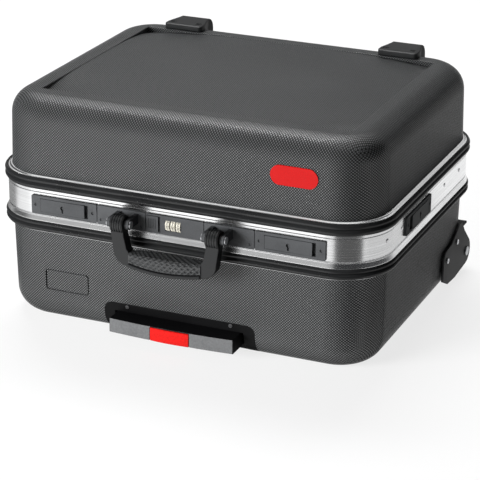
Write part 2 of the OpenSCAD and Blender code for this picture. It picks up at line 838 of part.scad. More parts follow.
// Core of the frame that the pad is moulded round
core_w = 9;
module grip_core(g) {
  mid = pivot_z + grip_top - (grip_t - grip_bow) / 2 + rim_h / 2;
  span([-pad_half - 1, pivot_y - core_w / 2 - g, mid - core_w / 2 - g],
       [pad_half + 1, pivot_y + core_w / 2 + g, mid + core_w / 2 + g]);
}

// Two arms with their hubs, the core, and the smooth rim that runs under the pad
rim_h = 4;
module handle_frame() {
  color("#2c2d2f")
    difference() {
      union() {
        difference() {
          handle_u(arm_t);
          intersection() {
            translate([0, 0, rim_h]) handle_u(arm_t + 2);
            span([-pad_half, pivot_y - grip_depth, 0], [pad_half, pivot_y + grip_depth, pivot_z]);
          }
        }
        difference() {
          intersection() {
            handle_u(grip_depth + 4);
            grip_plan(0.6);
          }
          translate([0, 0, rim_h]) handle_u(grip_depth + 6);
        }
        grip_core(0);
        for (s = [-1, 1])
          translate([s * arm_x, pivot_y, pivot_z])
            rod_x(-knuckle_w / 2, knuckle_w / 2, hub_r);
      }
      translate([0, pivot_y, pivot_z]) rod_x(-arm_x * 2, arm_x * 2, handle_pin_r + run);
    }
}

// The knurled pad fills the U's foot above the rim
module handle_grip() {
  color("#242526")
    difference() {
      intersection() {
        handle_u(grip_depth + 2);
        translate([0, 0, rim_h + snug]) handle_u(grip_depth + 4);
        grip_plan(0);
      }
      grip_core(snug);
    }
}

// ---------- Telescopic handle ----------

tube_z = bar_z + bar_h / 2 + 0.5;
tube_wall = 1.6;
stage_gap = 0.8;
middle_r = tube_r - tube_wall - stage_gap;
inner_r_tube = middle_r - 1.3 - stage_gap;
tube_start = notch_y + 0.5;
tube_setback = 44.5;
tube_end = hd - tube_setback;
middle_short = 8;
inner_short = 16;
bush_len = 14;
housing_back = 4;
bar_front = front_y - bar_reach;
bar_back = notch_y - housing_back - 3;
bar_wall = 3.5;
bar_bow = 3.5;
pocket_t = 1.5;
button_roof = 1.2;

module each_tube() {
  for (s = [-1, 1]) translate([s * tube_x, 0, tube_z]) children();
}

module tube(y0, y1, r, t) {
  difference() {
    rod_y(y0, y1, r);
    rod_y(y0 - 1, y1 + 1, r - t);
  }
}

// Moulded housing that fills the notch and frames the pull bar. Its front follows the shell
screw_x = 67;
screw_z = housing_h - 3.4;
housing_y = front_y - base_wall_offset(housing_h) - 0.4;
module trolley_housing() {
  arc_y = front_y - base_arc[0];
  depth = arc_y - housing_y;
  slot_w = bar_w / 2 + 3;
  color("#1d1d1f")
    difference() {
      intersection() {
        housing_form(0);
        union() {
          span([-housing_w, housing_y, depth], [housing_w, notch_y, housing_h + 1]);
          translate([0, arc_y, depth]) rod_x(-housing_w, housing_w, depth);
        }
      }
      span([-slot_w, front_y - 2, -1], [slot_w, notch_y - housing_back, bar_z + bar_h + 0.6]);
      each_tube() rod_y(notch_y - housing_back - 1, notch_y + 1, middle_r + 0.9);
      for (s = [-1, 1])
        translate([s * screw_x, housing_y, screw_z]) rod_y(-1, 12, 1.3, $fn = 24);
    }
}

// A cross-slot screw head with its shank, pointing to +Y
module screw(head_r, head_t, shank_r, shank) {
  difference() {
    union() {
      rod_y(-head_t, 0, head_r, $fn = 32);
      rod_y(0, shank, shank_r, $fn = 24);
    }
    span([-head_r * 0.6, -head_t - 1, -0.35], [head_r * 0.6, -head_t + 0.6, 0.35]);
    span([-0.35, -head_t - 1, -head_r * 0.6], [0.35, -head_t + 0.6, head_r * 0.6]);
  }
}

module trolley_screws() {
  color("#b9bbbd")
    for (s = [-1, 1]) translate([s * screw_x, housing_y, screw_z]) screw(2.3, 0.8, 1.2, 10);
}

module trolley_outer_tubes() {
  color("#b4b6b8") each_tube() tube(tube_start, tube_end, tube_r, tube_wall);
}

module trolley_outer_bushes() {
  color("#1b1b1c")
    each_tube() tube(tube_start + 1, tube_start + 1 + bush_len, tube_r - tube_wall - snug / 2,
                     tube_r - tube_wall - snug / 2 - middle_r - run);
}

module trolley_middle_tubes() {
  color("#c6c8ca") each_tube() tube(tube_start - 3, tube_end - middle_short, middle_r, 1.3);
}

module trolley_middle_bushes() {
  color("#1b1b1c")
    each_tube() tube(tube_start - 2, tube_start - 2 + bush_len, middle_r - 1.3 - snug / 2,
                     middle_r - 1.3 - snug / 2 - inner_r_tube - run);
}

module trolley_inner_tubes() {
  color("#d4d6d8") each_tube() tube(bar_back + 0.5, tube_end - inner_short, inner_r_tube, 1.2);
}

// Pull bar: a bowed face plate with a roof, ends and a back wall round the finger gap
module trolley_bar() {
  half = bar_w / 2;
  face_t = 9;
  steps = 10;
  face = [for (i = [0:steps])
    let (x = half * (1 - 2 * i / steps)) [x, bar_front - bar_bow * (1 - pow(x / half, 2))]];
  color("#4a4c4e")
    difference() {
      translate([0, 0, bar_z])
        linear_extrude(bar_h)
          polygon(concat(face, [[-half, bar_back], [half, bar_back]]));
      span([-half + 4, bar_front + face_t, bar_z - 1],
           [half - 4, bar_back - bar_wall, bar_z + bar_h - bar_wall]);
      span([-button_w / 2 - loose, bar_front - bar_bow - 1, bar_z - 1],
           [button_w / 2 + loose, bar_front + face_t - pocket_t, bar_z + bar_h - button_roof]);
      each_tube() rod_y(bar_back - 1.5, bar_back + 2, inner_r_tube + snug);
    }
}

// Red release button, a bowed block that presses into the bar
module trolley_button() {
  half = button_w / 2;
  lift = bar_bow + 1.2;
  color("#e0231c")
    translate([0, 0, bar_z])
      linear_extrude(bar_h - button_roof - loose)
        polygon([
          for (i = [0:8]) let (x = half * (1 - i / 4)) [x, bar_front - lift + 1.2 * pow(x / half, 2)],
          [-half, bar_front + 7.2 - button_travel],
          [half, bar_front + 7.2 - button_travel]
        ]);
}

// Tray over the tubes inside the base, which the load lies on
cover_w = 2 * (tube_x + tube_r + 5);
cover_h = tube_z + tube_r + 2.5;
module trolley_cover() {
  t = 2;
  y0 = notch_y + 1;
  y1 = tube_end + 4;
  color("#232426")
    difference() {
      span([-cover_w / 2, y0, wall + snug], [cover_w / 2, y1, cover_h + t]);
      span([-cover_w / 2 + t, y0 - 1, 0], [cover_w / 2 - t, y1 - t, cover_h]);
      for (i = [-2:2])
        translate([i * 24, 0, 0]) span([-4, y0 + 30, cover_h + t - 0.8], [4, y1 - 30, cover_h + t + 1]);
    }
}

// ---------- Wheels ----------

cheek_out = hw - 3.3;
cheek_in = hw - 11;
cheek_top = 76;
side_face = hw + base_wall_offset(cheek_top) + snug;
wheel_x = well_x + well_t + (cheek_in - well_x - well_t) / 2;

// Screws of a bracket, as [y, z]
bracket_screw_at = [[axle_y - 43, 56], [axle_y - 81, 44]];
module bracket_screw_bores() {
  for (p = bracket_screw_at)
    translate([0, p[0], p[1]]) {
      rod_x(hw - 20, hw + 5, 1.6);
      rod_x(-hw - 5, -hw + 20, 1.6);
    }
}

// Outline of the outer cheek, as [y, z]: a stepped plate that rounds off behind the axle
cheek_front = axle_y - 95;
cheek_r = 17;
cheek_line = concat(
  [[cheek_front, 20], [cheek_front + 1, 52], [cheek_front + 8, 58], [cheek_front + 30, 60]],
  [[cheek_front + 46, 67], [cheek_front + 62, cheek_top], [cheek_front + 72, cheek_top], [cheek_front + 85, 60]],
  [for (a = [45:-22.5:-90]) [axle_y + cheek_r * cos(a), axle_z + cheek_r * sin(a)]],
  [[cheek_front + 50, 8], [cheek_front + 20, 10]]
);

module wheel_bracket() {
  color("#1e1f21")
    difference() {
      union() {
        translate([cheek_in, 0, 0])
          rotate([90, 0, 90])
            linear_extrude(cheek_out - cheek_in)
              polygon(cheek_line);
        span([well_x + snug, well_y + snug, 8], [well_x + well_t, hd - 16, well_z - snug]);
        span([well_x + snug, well_y + snug, 8], [cheek_out - 1, well_y + well_t, well_z - snug]);
        span([well_x + snug, well_y + snug, well_z - well_t], [cheek_out - 1, axle_y, well_z - snug]);
      }
      span([0, 0, -1], [side_face, well_y + snug, well_z + 20]);
      span([0, 0, well_z - snug], [side_face, hd, well_z + 20]);
      translate([0, axle_y, axle_z]) rod_x(well_x - 5, hw + 5, axle_r + 0.02);
      bracket_screw_bores();
    }
}
module wheel_bracket_right() { wheel_bracket(); }
module wheel_bracket_left() { mirror([1, 0, 0]) wheel_bracket(); }

module wheel_axles() {
  color("#c9cacc")
    for (m = [0, 1])
      mirror([m, 0, 0])
        translate([0, axle_y, axle_z]) {
          rod_x(well_x + 0.5, cheek_out, axle_r);
          rod_x(cheek_out, cheek_out + 1.8, axle_r + 2);
        }
}

module bracket_screws() {
  color("#c9cacc")
    for (m = [0, 1], p = bracket_screw_at)
      mirror([m, 0, 0])
        translate([cheek_out, p[0], p[1]])
          rotate([0, 0, 90])
            screw(3.4, 1.6, 1.5, 12);
}

// Moulded wheel with a hub, a web with lightening holes and a seat for the tyre
rim_r = wheel_r - 5.5;
module wheel() {
  w = wheel_w / 2;
  color("#35363a")
    translate([wheel_x, axle_y, axle_z])
      difference() {
        union() {
          rod_x(-w + 1, w - 1, rim_r);
          rod_x(-w - 0.8, w + 0.8, axle_r + 4);
        }
        for (s = [-1, 1])
          translate([s * w, 0, 0])
            difference() {
              rod_x(-8, 8, rim_r - 3.5);
              rod_x(-9, 9, axle_r + 4);
            }
        for (k = [0:4])
          rotate([72 * k, 0, 0]) translate([0, 0, (rim_r + axle_r) / 2 + 0.5]) rod_x(-w, w, 4.2);
        rod_x(-wheel_w, wheel_w, axle_r + run);
      }
}
module wheel_right() { wheel(); }
module wheel_left() { mirror([1, 0, 0]) wheel(); }

// Soft tyre with rounded shoulders
module tyre() {
  w = wheel_w / 2;
  r = 4;
  color("#151516")
    translate([wheel_x, axle_y, axle_z])
      rotate([0, 90, 0])
        rotate_extrude($fn = 96)
          polygon(concat(
            [[rim_r + snug, -w + 1], [wheel_r - r, -w]],
            [for (a = [-90:22.5:0]) [wheel_r - r + r * cos(a), -w + r + r * sin(a)]],
            [for (a = [0:22.5:90]) [wheel_r - r + r * cos(a), w - r + r * sin(a)]],
            [[rim_r + snug, w - 1]]
          ));
}
module tyre_right() { tyre(); }
module tyre_left() { mirror([1, 0, 0]) tyre(); }

// ---------- Stand feet on the lid's rear edge ----------

foot_front = hd - 50;
foot_back = axle_y + wheel_r;
foot_low = top_z - 46;
foot_screw_y = hd - 38;
foot_screw_dx = 18;

module foot_screw_bores() {
  for (s = [-1, 1], d = [-1, 1])
    translate([s * foot_x + d * foot_screw_dx, foot_screw_y, top_z - 20]) cylinder(r = 1.6, h = 30, $fn = 24);
}

// Section of a foot, as [y, z]: a cap that wraps over the lid's rear edge
foot_r = 15;
foot_line = concat(
  [[foot_front, top_z + snug + 1.5], [foot_front, top_z + foot_h - 2], [foot_front + 2, top_z + foot_h]],
  [for (a = [90:-15:0]) [foot_back - foot_r + foot_r * cos(a), top_z + foot_h - foot_r + foot_r * sin(a)]],
  [[foot_back, foot_low], [hd + lid_wall_offset(foot_low) + snug, foot_low]],
  [for (a = [0:15:90])
    [hd + lid_arc[0] + (edge_r + snug) * cos(a), lid_arc[1] + (edge_r + snug) * sin(a)]],
  [[foot_front + 5, top_z + snug]]
);

module lid_foot() {
  corner = 4;
  narrow = 6;
  far = foot_front + 38;
  color("#3c3e3f")
    difference() {
      intersection() {
        translate([foot_x - foot_w / 2, 0, 0])
          rotate([90, 0, 90])
            linear_extrude(foot_w)
              polygon(foot_line);
        translate([foot_x, 0, foot_low - 1])
          linear_extrude(top_z)
            polygon([
              [-foot_w / 2 + corner, foot_front - 1], [foot_w / 2 - corner, foot_front - 1],
              [foot_w / 2, foot_front + corner], [foot_w / 2, foot_front + 14],
              [foot_w / 2 - narrow, far], [foot_w / 2 - narrow, foot_back + 1],
              [-foot_w / 2 + narrow, foot_back + 1], [-foot_w / 2 + narrow, far],
              [-foot_w / 2, foot_front + 14], [-foot_w / 2, foot_front + corner]
            ]);
      }
      for (d = [-1, 1])
        translate([foot_x + d * foot_screw_dx, foot_screw_y, top_z - 5]) {
          cylinder(r = 1.6, h = 30, $fn = 24);
          translate([0, 0, 5 + foot_h - 2]) cylinder(r = 3.8, h = 10, $fn = 32);
        }
    }
}
module lid_foot_right() { lid_foot(); }
module lid_foot_left() { mirror([1, 0, 0]) lid_foot(); }

module foot_screws() {
  color("#1d1d1f")
    for (s = [-1, 1], d = [-1, 1])
      translate([s * foot_x + d * foot_screw_dx, foot_screw_y, top_z + foot_h - 2])
        rotate([-90, 0, 0])
          screw(3.5, 1.4, 1.5, 12);
}

base_shell();
base_frame();
base_band();
frame_seal();
frame_rivets();
lid_shell();
lid_frame();
lid_band();
lid_keepers();
badge_plate();
hinge_base_leaves();
hinge_lid_leaves();
hinge_pins();
lock_body_left();
lock_slider_left();
lock_body_right();
lock_slider_right();
side_latch_body_left();
side_latch_slider_left();
side_latch_body_right();
side_latch_slider_right();
combination_body();
combination_release();
digit_wheel_shaft();
digit_wheel_1();
digit_wheel_2();
digit_wheel_3();
handle_bracket_left();
handle_bracket_right();
handle_pins();
handle_frame();
handle_grip();
trolley_housing();
trolley_screws();
trolley_outer_tubes();
trolley_outer_bushes();
trolley_middle_tubes();
trolley_middle_bushes();
trolley_inner_tubes();
trolley_bar();
trolley_button();
trolley_cover();
wheel_bracket_left();
wheel_bracket_right();
wheel_axles();
bracket_screws();
wheel_left();
wheel_right();
tyre_left();
tyre_right();
lid_foot_left();
lid_foot_right();
foot_screws();
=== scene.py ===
from math import cos, pi, radians, sin

import bmesh
import bpy
from mathutils import Matrix, Vector


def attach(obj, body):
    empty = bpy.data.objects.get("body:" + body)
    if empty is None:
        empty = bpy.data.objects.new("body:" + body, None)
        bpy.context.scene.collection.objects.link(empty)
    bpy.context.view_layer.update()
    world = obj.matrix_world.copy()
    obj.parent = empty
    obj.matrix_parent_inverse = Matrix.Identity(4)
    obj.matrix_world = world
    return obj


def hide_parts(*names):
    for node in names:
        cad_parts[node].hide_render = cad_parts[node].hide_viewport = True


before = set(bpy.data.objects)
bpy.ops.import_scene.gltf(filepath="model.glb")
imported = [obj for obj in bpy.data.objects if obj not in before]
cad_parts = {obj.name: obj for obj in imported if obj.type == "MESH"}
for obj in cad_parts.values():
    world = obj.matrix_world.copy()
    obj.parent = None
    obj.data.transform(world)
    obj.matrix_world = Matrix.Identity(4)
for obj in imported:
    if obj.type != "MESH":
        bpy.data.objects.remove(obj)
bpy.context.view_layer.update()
scene = bpy.context.scene
scene.view_settings.view_transform = "Standard"

# ---------- Studio ----------
# The case stands on a plain pale floor under soft boxes. The camera stands where the
# photograph was taken from: to the right of the front and above the lid.

CAMERA_PLACE = Vector((0.9371, -2.2057, 1.0211))
CAMERA_TARGET = Vector((-0.00172, 0.0, 0.06576))
CAMERA_ROLL = radians(0.401)
WHITE = (1, 1, 1, 1)

camera = bpy.data.objects.new("studio_camera", bpy.data.cameras.new("studio_camera"))
camera.data.sensor_width = 36
camera.data.lens = 154.4
camera.data.clip_end = 100
back = (CAMERA_PLACE - CAMERA_TARGET).normalized()
right = Vector((0, 0, 1)).cross(back).normalized()
up = back.cross(right)
right, up = (right * cos(CAMERA_ROLL) + up * sin(CAMERA_ROLL),
             up * cos(CAMERA_ROLL) - right * sin(CAMERA_ROLL))
aimed = Matrix((right, up, back)).transposed().to_4x4()
camera.matrix_world = Matrix.Translation(CAMERA_PLACE) @ aimed
scene.collection.objects.link(camera)
scene.camera = camera


def soft_box(name, place, aim, size, power):
    """A rectangular lamp that points at a place on the case."""
    lamp = bpy.data.lights.new(name, "AREA")
    lamp.shape = "RECTANGLE"
    lamp.size, lamp.size_y = size
    lamp.energy = power
    box = bpy.data.objects.new(name, lamp)
    box.location = place
    box.rotation_euler = (Vector(aim) - Vector(place)).to_track_quat("-Z", "Y").to_euler()
    scene.collection.objects.link(box)
    return box


front_box = soft_box("front_box", (-1.5, -2.4, 0.8), (0, 0, 0.12), (1.4, 0.8), 142)
front_box.visible_glossy = False
soft_box("top_box", (-0.5, 1.1, 2.1), (0, 0, 0.2), (1.8, 0.7), 66)


def add_node(tree, kind, inputs=None, **settings):
    """Adds a shader node and fills its inputs with plain values or other nodes' outputs."""
    node = tree.nodes.new(kind)
    for key, value in settings.items():
        setattr(node, key, value)
    for place, value in (inputs or {}).items():
        if isinstance(value, bpy.types.NodeSocket):
            tree.links.new(value, node.inputs[place])
        else:
            node.inputs[place].default_value = value
    return node


def arithmetic(tree, operation, one, two):
    """One step of arithmetic on two shader values."""
    return add_node(tree, "ShaderNodeMath", {0: one, 1: two}, operation=operation).outputs[0]


def blank_material(name):
    """A new material with nothing in it yet, and its node tree."""
    material = bpy.data.materials.new(name)
    material.use_nodes = True
    material.node_tree.nodes.clear()
    return material, material.node_tree


def card(name, corners, brightness):
    """A flat card that only reflections see: bright ones give sheens, dim ones dark edges."""
    mesh = bpy.data.meshes.new(name)
    mesh.from_pydata(corners, [], [list(range(len(corners)))])
    board = bpy.data.objects.new(name, mesh)
    paint, tree = blank_material(name)
    even = add_node(tree, "ShaderNodeEmission", {"Color": WHITE, "Strength": brightness})
    add_node(tree, "ShaderNodeOutputMaterial", {"Surface": even.outputs[0]})
    mesh.materials.append(paint)
    board.visible_camera = board.visible_diffuse = board.visible_shadow = False
    scene.collection.objects.link(board)


card("card_behind",
     [(-3.0, 2.6, 0.5), (1.2, 2.6, 0.5), (1.2, 0.4, 2.8), (-3.0, 0.4, 2.8)], 0.6)
card("card_above",
     [(-2.4, 0.38, 2.8), (1.6, 0.38, 2.8), (1.6, -1.7, 2.8), (-2.4, -1.7, 2.8)], 0.9)
card("card_front",
     [(-0.26, -0.3, 0.001), (0.1, -0.3, 0.001), (-0.2, -2.6, 0.001), (-2.4, -2.2, 0.001)], 1.35)
card("card_low",
     [(-3.2, -2.9, 0), (0.3, -2.9, 0), (0.3, -2.9, 1.1), (-3.2, -2.9, 1.1)], 0.9)
card("card_corner",
     [(0.2, -0.27, 0.002), (0.27, -0.2, 0.002), (2.54, -1.2, 0.002),
      (2.6, -2.7, 0.002), (0.41, -2.7, 0.002)], 0.1)
card("card_side",
     [(0.29, -0.18, 0.001), (0.29, 0.3, 0.001), (2.6, 2.6, 0.001), (2.6, -1.0, 0.001)], 0.65)
card("card_left",
     [(-0.25, 0.1, 0.002), (-0.28, -0.12, 0.002), (-2.6, -0.7, 0.002), (-2.6, 2.0, 0.002)], 0.3)

# The air throws hardly any light on the case, and is white where the camera sees it
world = bpy.data.worlds.new("studio_air")
scene.world = world
world.use_nodes = True
air = world.node_tree
air.nodes.clear()
ray = add_node(air, "ShaderNodeLightPath").outputs
seen = arithmetic(air, "MAXIMUM", ray["Is Camera Ray"], ray["Is Transmission Ray"])
room = add_node(air, "ShaderNodeBackground", {"Color": (0.93, 0.95, 1, 1), "Strength": 0.04})
white = add_node(air, "ShaderNodeBackground", {"Color": WHITE, "Strength": 1.0})
mixed = add_node(air, "ShaderNodeMixShader", {0: seen, 1: room.outputs[0], 2: white.outputs[0]})
add_node(air, "ShaderNodeOutputWorld", {"Surface": mixed.outputs[0]})

# The floor looks pale with a soft shadow, glows in reflections, and lights the case dimly
FLOOR_HALF, FLOOR_DROP = 12, 0.0004
GLOW_SEEN, GLOW_MIRRORED = 0.78, 0.92

corners = [(x * FLOOR_HALF, y * FLOOR_HALF, 0) for x, y in ((-1, -1), (1, -1), (1, 1), (-1, 1))]
floor_mesh = bpy.data.meshes.new("studio_floor")
floor_mesh.from_pydata(corners, [], [(0, 1, 2, 3)])
floor = bpy.data.objects.new("studio_floor", floor_mesh)
floor.location.z = -FLOOR_DROP
scene.collection.objects.link(floor)
paper, tree = blank_material("pale floor")
ray = add_node(tree, "ShaderNodeLightPath").outputs
dim = add_node(tree, "ShaderNodeBsdfDiffuse", {"Color": (0.22, 0.22, 0.22, 1)})
pale = add_node(tree, "ShaderNodeBsdfDiffuse", {"Color": (0.92, 0.92, 0.92, 1)})
matt = add_node(tree, "ShaderNodeMixShader",
                {0: ray["Is Camera Ray"], 1: dim.outputs[0], 2: pale.outputs[0]})
glow = add_node(tree, "ShaderNodeEmission", {"Color": WHITE, "Strength": 1.0})
seen = arithmetic(tree, "MULTIPLY", ray["Is Camera Ray"], GLOW_SEEN)
mirrored = arithmetic(tree, "MULTIPLY", ray["Is Glossy Ray"], GLOW_MIRRORED)
share = arithmetic(tree, "MAXIMUM", seen, mirrored)
lit = add_node(tree, "ShaderNodeMixShader", {0: share, 1: matt.outputs[0], 2: glow.outputs[0]})
add_node(tree, "ShaderNodeOutputMaterial", {"Surface": lit.outputs[0]})
floor_mesh.materials.append(paper)

# ---------- Base and lid shells ----------
# Two trays drawn from charcoal ABS sheet over a mould, which presses a fine pyramid grain
# into the outside. The lid's top has a sunk, crowned panel that stiffens it.

# The case's plan, its top and the drawn edges, in m
HALF_W, HALF_D, CORNER_R = 0.245, 0.195, 0.063
TOP_Z, EDGE_R, SHELL_T = 0.282, 0.030, 0.0035
PANEL_W, PANEL_D, CROWN, CORNER_DIP, EDGE_STEP = 0.196, 0.146, 0.0035, 0.008, 0.0004
PANEL_STEPS, LIP_R, LIP_SHARE = (48, 40), 0.0011, 0.96

# In mm: how far the sheets lie in from the frames' faces, and the heights of their edges
SHEET_IN, BASE_BEND_IN, LID_BEND_IN = -5.3, -7.443, -6.853
BASE_RIM_Z, BASE_LINE_Z, LID_RIM_Z, LID_LINE_Z = 163.9, 119.3, 174.4, 187.3

# Openings for the locks and the wheel wells, as box corners in mm
LOCK_X, LOCK_HALF, LATCH_X, LATCH_HALF = 143.75, 37.35, 239, 10
LOCK_WINDOWS = [((-25.1, -197, 144.7), (25.1, -177, 163.3))]
for side in (-1, 1):
    LOCK_WINDOWS.append(((side * LOCK_X - LOCK_HALF, -197, 145.7),
                         (side * LOCK_X + LOCK_HALF, -179, 162.3)))
    LOCK_WINDOWS.append(((side * LATCH_X - LATCH_HALF, -89.1, 148.3),
                         (side * LATCH_X + LATCH_HALF, -10.9, 164.9)))
WHEEL_WELLS = [((196, 133, -5), (260, 260, 69.5)), ((-260, 133, -5), (-196, 260, 69.5))]

# Rounded blocks, each a centre, a size and a corner radius in mm
HOUSING_MOUTH = ((0, -182, 10.5), (195.2, 34.2, 61.2), 11.1)
LABEL_FIELD = ((-147, -191.2, 56), (58, 10, 27), 4)
LABEL_PLATE = ((-147, -187.2, 56), (55.2, 1.2, 24.2), 2.8)
LABEL_Z, LABEL_LEAN = 0.056, -0.024


def round_the_case(bm, section, closed, steps=16):
    """Bends a section of (outward offset, height) points in mm round the case's plan."""
    rings = []
    for quarter, (sx, sy) in enumerate(((1, 1), (-1, 1), (-1, -1), (1, -1))):
        for i in range(steps + 1):
            a = radians(90 * (quarter + i / steps))
            rings.append([bm.verts.new((
                sx * (HALF_W - CORNER_R) + cos(a) * (CORNER_R + off / 1000),
                sy * (HALF_D - CORNER_R) + sin(a) * (CORNER_R + off / 1000),
                z / 1000)) for off, z in section])
    count = len(section) if closed else len(section) - 1
    for here, there in zip(rings, rings[1:] + rings[:1]):
        for j in range(count):
            k = (j + 1) % len(section)
            bm.faces.new((here[j], there[j], there[k], here[k]))
    return rings


def new_piece(name, bm):
    """A scene object from a bmesh, with smooth faces."""
    bmesh.ops.recalc_face_normals(bm, faces=bm.faces)
    mesh = bpy.data.meshes.new(name)
    bm.to_mesh(mesh)
    bm.free()
    mesh.shade_smooth()
    piece = bpy.data.objects.new(name, mesh)
    scene.collection.objects.link(piece)
    return piece


def settle(piece):
    """Turns a piece's modifiers into plain mesh."""
    shaped = piece.evaluated_get(bpy.context.evaluated_depsgraph_get())
    mesh = bpy.data.meshes.new_from_object(shaped)
    piece.modifiers.clear()
    piece.data = mesh
    return piece


def flat_normals(piece, angle=38):
    """Smooth on its curves, flat on its flats, with an edge where faces meet sharply."""
    piece.data.set_sharp_from_angle(angle=radians(angle))
    flats = piece.modifiers.new("flats", "WEIGHTED_NORMAL")
    flats.keep_sharp = True
    return settle(piece)


def round_edges(piece, width, segments=2, sharper_than=30, shortest=1.6):
    """Rounds the edges as a mould or a deburring wheel leaves them; tiny holes stay sharp."""
    bm = bmesh.new()
    bm.from_mesh(piece.data)
    rounded = bm.edges.layers.float.new("bevel_weight_edge")
    sharp = {edge for edge in bm.edges if len(edge.link_faces) == 2
             and edge.calc_face_angle() > radians(sharper_than)}
    tiny = {edge for edge in sharp if edge.calc_length() < shortest * width}
    for edge in sharp - tiny:
        ends = sum(any(other in tiny for other in vertex.link_edges) for vertex in edge.verts)
        short = edge.calc_length() < 4 * shortest * width
        edge[rounded] = 0.0 if ends == 2 and short else 1.0
    bm.to_mesh(piece.data)
    bm.free()
    bevel = piece.modifiers.new("edges", "BEVEL")
    bevel.width = width
    bevel.segments = segments
    bevel.limit_method = "WEIGHT"
    bevel.use_clamp_overlap = False
    bevel.miter_outer = "MITER_ARC"
    faces = piece.modifiers.new("faces", "TRIANGULATE")
    faces.min_vertices = 5
    faces.ngon_method = "BEAUTY"
    settle(piece)
    piece.data.shade_smooth()
    return flat_normals(piece, 50)


def as_sheet(piece):
    """Gives a drawn skin the thickness of its sheet, inwards."""
    sheet = piece.modifiers.new("sheet", "SOLIDIFY")
    sheet.thickness = SHELL_T
    sheet.offset = -1
    return settle(piece)


def subtract(piece, bm):
    """Cuts the solid in a bmesh out of a piece."""
    cutter = new_piece("cutter", bm)
    tool = piece.modifiers.new("cut", "BOOLEAN")
    tool.operation = "DIFFERENCE"
    tool.solver = "EXACT"
    tool.object = cutter
    settle(piece)
    bpy.data.objects.remove(cutter)
    return piece


def cut(piece, boxes):
    """Cuts boxes, each given by its two corners in mm, out of a piece."""
    bm = bmesh.new()
    for low, high in boxes:
        low, high = Vector(low) / 1000, Vector(high) / 1000
        made = bmesh.ops.create_cube(bm, size=1)["verts"]
        bmesh.ops.scale(bm, vec=high - low, verts=made)
        bmesh.ops.translate(bm, vec=(low + high) / 2, verts=made)
    return subtract(piece, bm)


def finish_piece(piece, body, slot, material, *nodes):
    """Gives a piece its material and body, and lets it stand for its CAD nodes."""
    piece.data.materials.clear()
    piece.data.materials.append(material)
    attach(piece, body)
    if nodes:
        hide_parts(*nodes)
    return piece


def quarter_turn(centre, radius, start, end, steps=12):
    """Points of an arc in a section, from one angle to another."""
    return [(centre[0] + radius * cos(radians(start + (end - start) * i / steps)),
             centre[1] + radius * sin(radians(start + (end - start) * i / steps)))
            for i in range(steps + 1)]


def rounded_block(bm, centre, size, radius, steps=6):
    """A block in mm with its four corners rounded, seen along y."""
    width, depth, height = (v / 2 for v in size)
    rim = []
    for sx, sz, start in ((1, 1, 0), (-1, 1, 90), (-1, -1, 180), (1, -1, 270)):
        middle = (centre[0] + sx * (width - radius), centre[2] + sz * (height - radius))
        rim += quarter_turn(middle, radius, start, start + 90, steps)
    front, rear = ([bm.verts.new((x / 1000, (centre[1] + off) / 1000, z / 1000)) for x, z in rim]
                   for off in (-depth, depth))
    bm.faces.new(front)
    bm.faces.new(rear[::-1])
    for i in range(len(rim)):
        j = (i + 1) % len(rim)
        bm.faces.new((front[i], rear[i], rear[j], front[j]))


def effect(name, takes, gives):
    """An empty shader node group with named numbers in, and named outputs."""
    group = bpy.data.node_groups.new(name, "ShaderNodeTree")
    for label, start in takes.items():
        socket = group.interface.new_socket(label, in_out="INPUT", socket_type="NodeSocketFloat")
        socket.default_value = start
    for label in gives:
        group.interface.new_socket(label, in_out="OUTPUT", socket_type="NodeSocketFloat")
    given, result = group.nodes.new("NodeGroupInput"), group.nodes.new("NodeGroupOutput")
    return group, given.outputs, result.inputs


def place_effect(tree, group, **values):
    """Puts a node group into a material with its own values."""
    node = tree.nodes.new("ShaderNodeGroup")
    node.node_tree = group
    for label, value in values.items():
        node.inputs[label.replace("_", " ")].default_value = value
    return node.outputs


def vector_step(tree, operation, one, *two):
    """One step of arithmetic on shader vectors."""
    node = add_node(tree, "ShaderNodeVectorMath", dict(enumerate((one, *two))),
                    operation=operation)
    return node.outputs["Value" if operation == "DOT_PRODUCT" else "Vector"]


def mapped(tree, value, low, high, to_low=0.0, to_high=1.0):
    """Takes low..high to to_low..to_high, and holds beyond them."""
    return add_node(tree, "ShaderNodeMapRange",
                    {0: value, 1: low, 2: high, 3: to_low, 4: to_high}).outputs[0]


def noise(tree, place, scale, detail):
    """Soft random values between 0 and 1."""
    return add_node(tree, "ShaderNodeTexNoise",
                    {"Vector": place, "Scale": scale, "Detail": detail}).outputs[0]


# The pressed grain: staggered pyramids, laid on from the front, the side and above, with painted
# shade in the pits and painted highlights on the tips
GRAIN_PIT, GRAIN_TIP, PIT_PAINTED_SHADE, TIP_PAINTED_HIGHLIGHT = 0.1, 0.62, 0.25, 2.45
pressed_grain, given, result = effect("Pressed grain", {"Pitch": 0.0034}, ["Height", "Tone"])
coords = add_node(pressed_grain, "ShaderNodeTexCoord").outputs
half = arithmetic(pressed_grain, "MULTIPLY", given["Pitch"], 0.5)
facing = vector_step(pressed_grain, "ABSOLUTE", coords["Normal"])
for _ in range(2):
    facing = vector_step(pressed_grain, "MULTIPLY", facing, facing)
whole = vector_step(pressed_grain, "DOT_PRODUCT", facing, (1, 1, 1))
facing = add_node(pressed_grain, "ShaderNodeSeparateXYZ", {0: facing}).outputs
total = None
for axis, rows in (("X", ((0, 1, 1), (0, 1, -1))), ("Y", ((1, 0, 1), (1, 0, -1))),
                   ("Z", ((1, 1, 0), (1, -1, 0)))):
    waves = []
    for row in rows:
        wave = vector_step(pressed_grain, "DOT_PRODUCT", coords["Object"], row)
        wave = arithmetic(pressed_grain, "PINGPONG", wave, half)
        waves.append(arithmetic(pressed_grain, "DIVIDE", wave, half))
    wave = arithmetic(pressed_grain, "MULTIPLY", *waves)
    wave = arithmetic(pressed_grain, "MULTIPLY", wave, facing[axis])
    total = wave if total is None else arithmetic(pressed_grain, "ADD", total, wave)
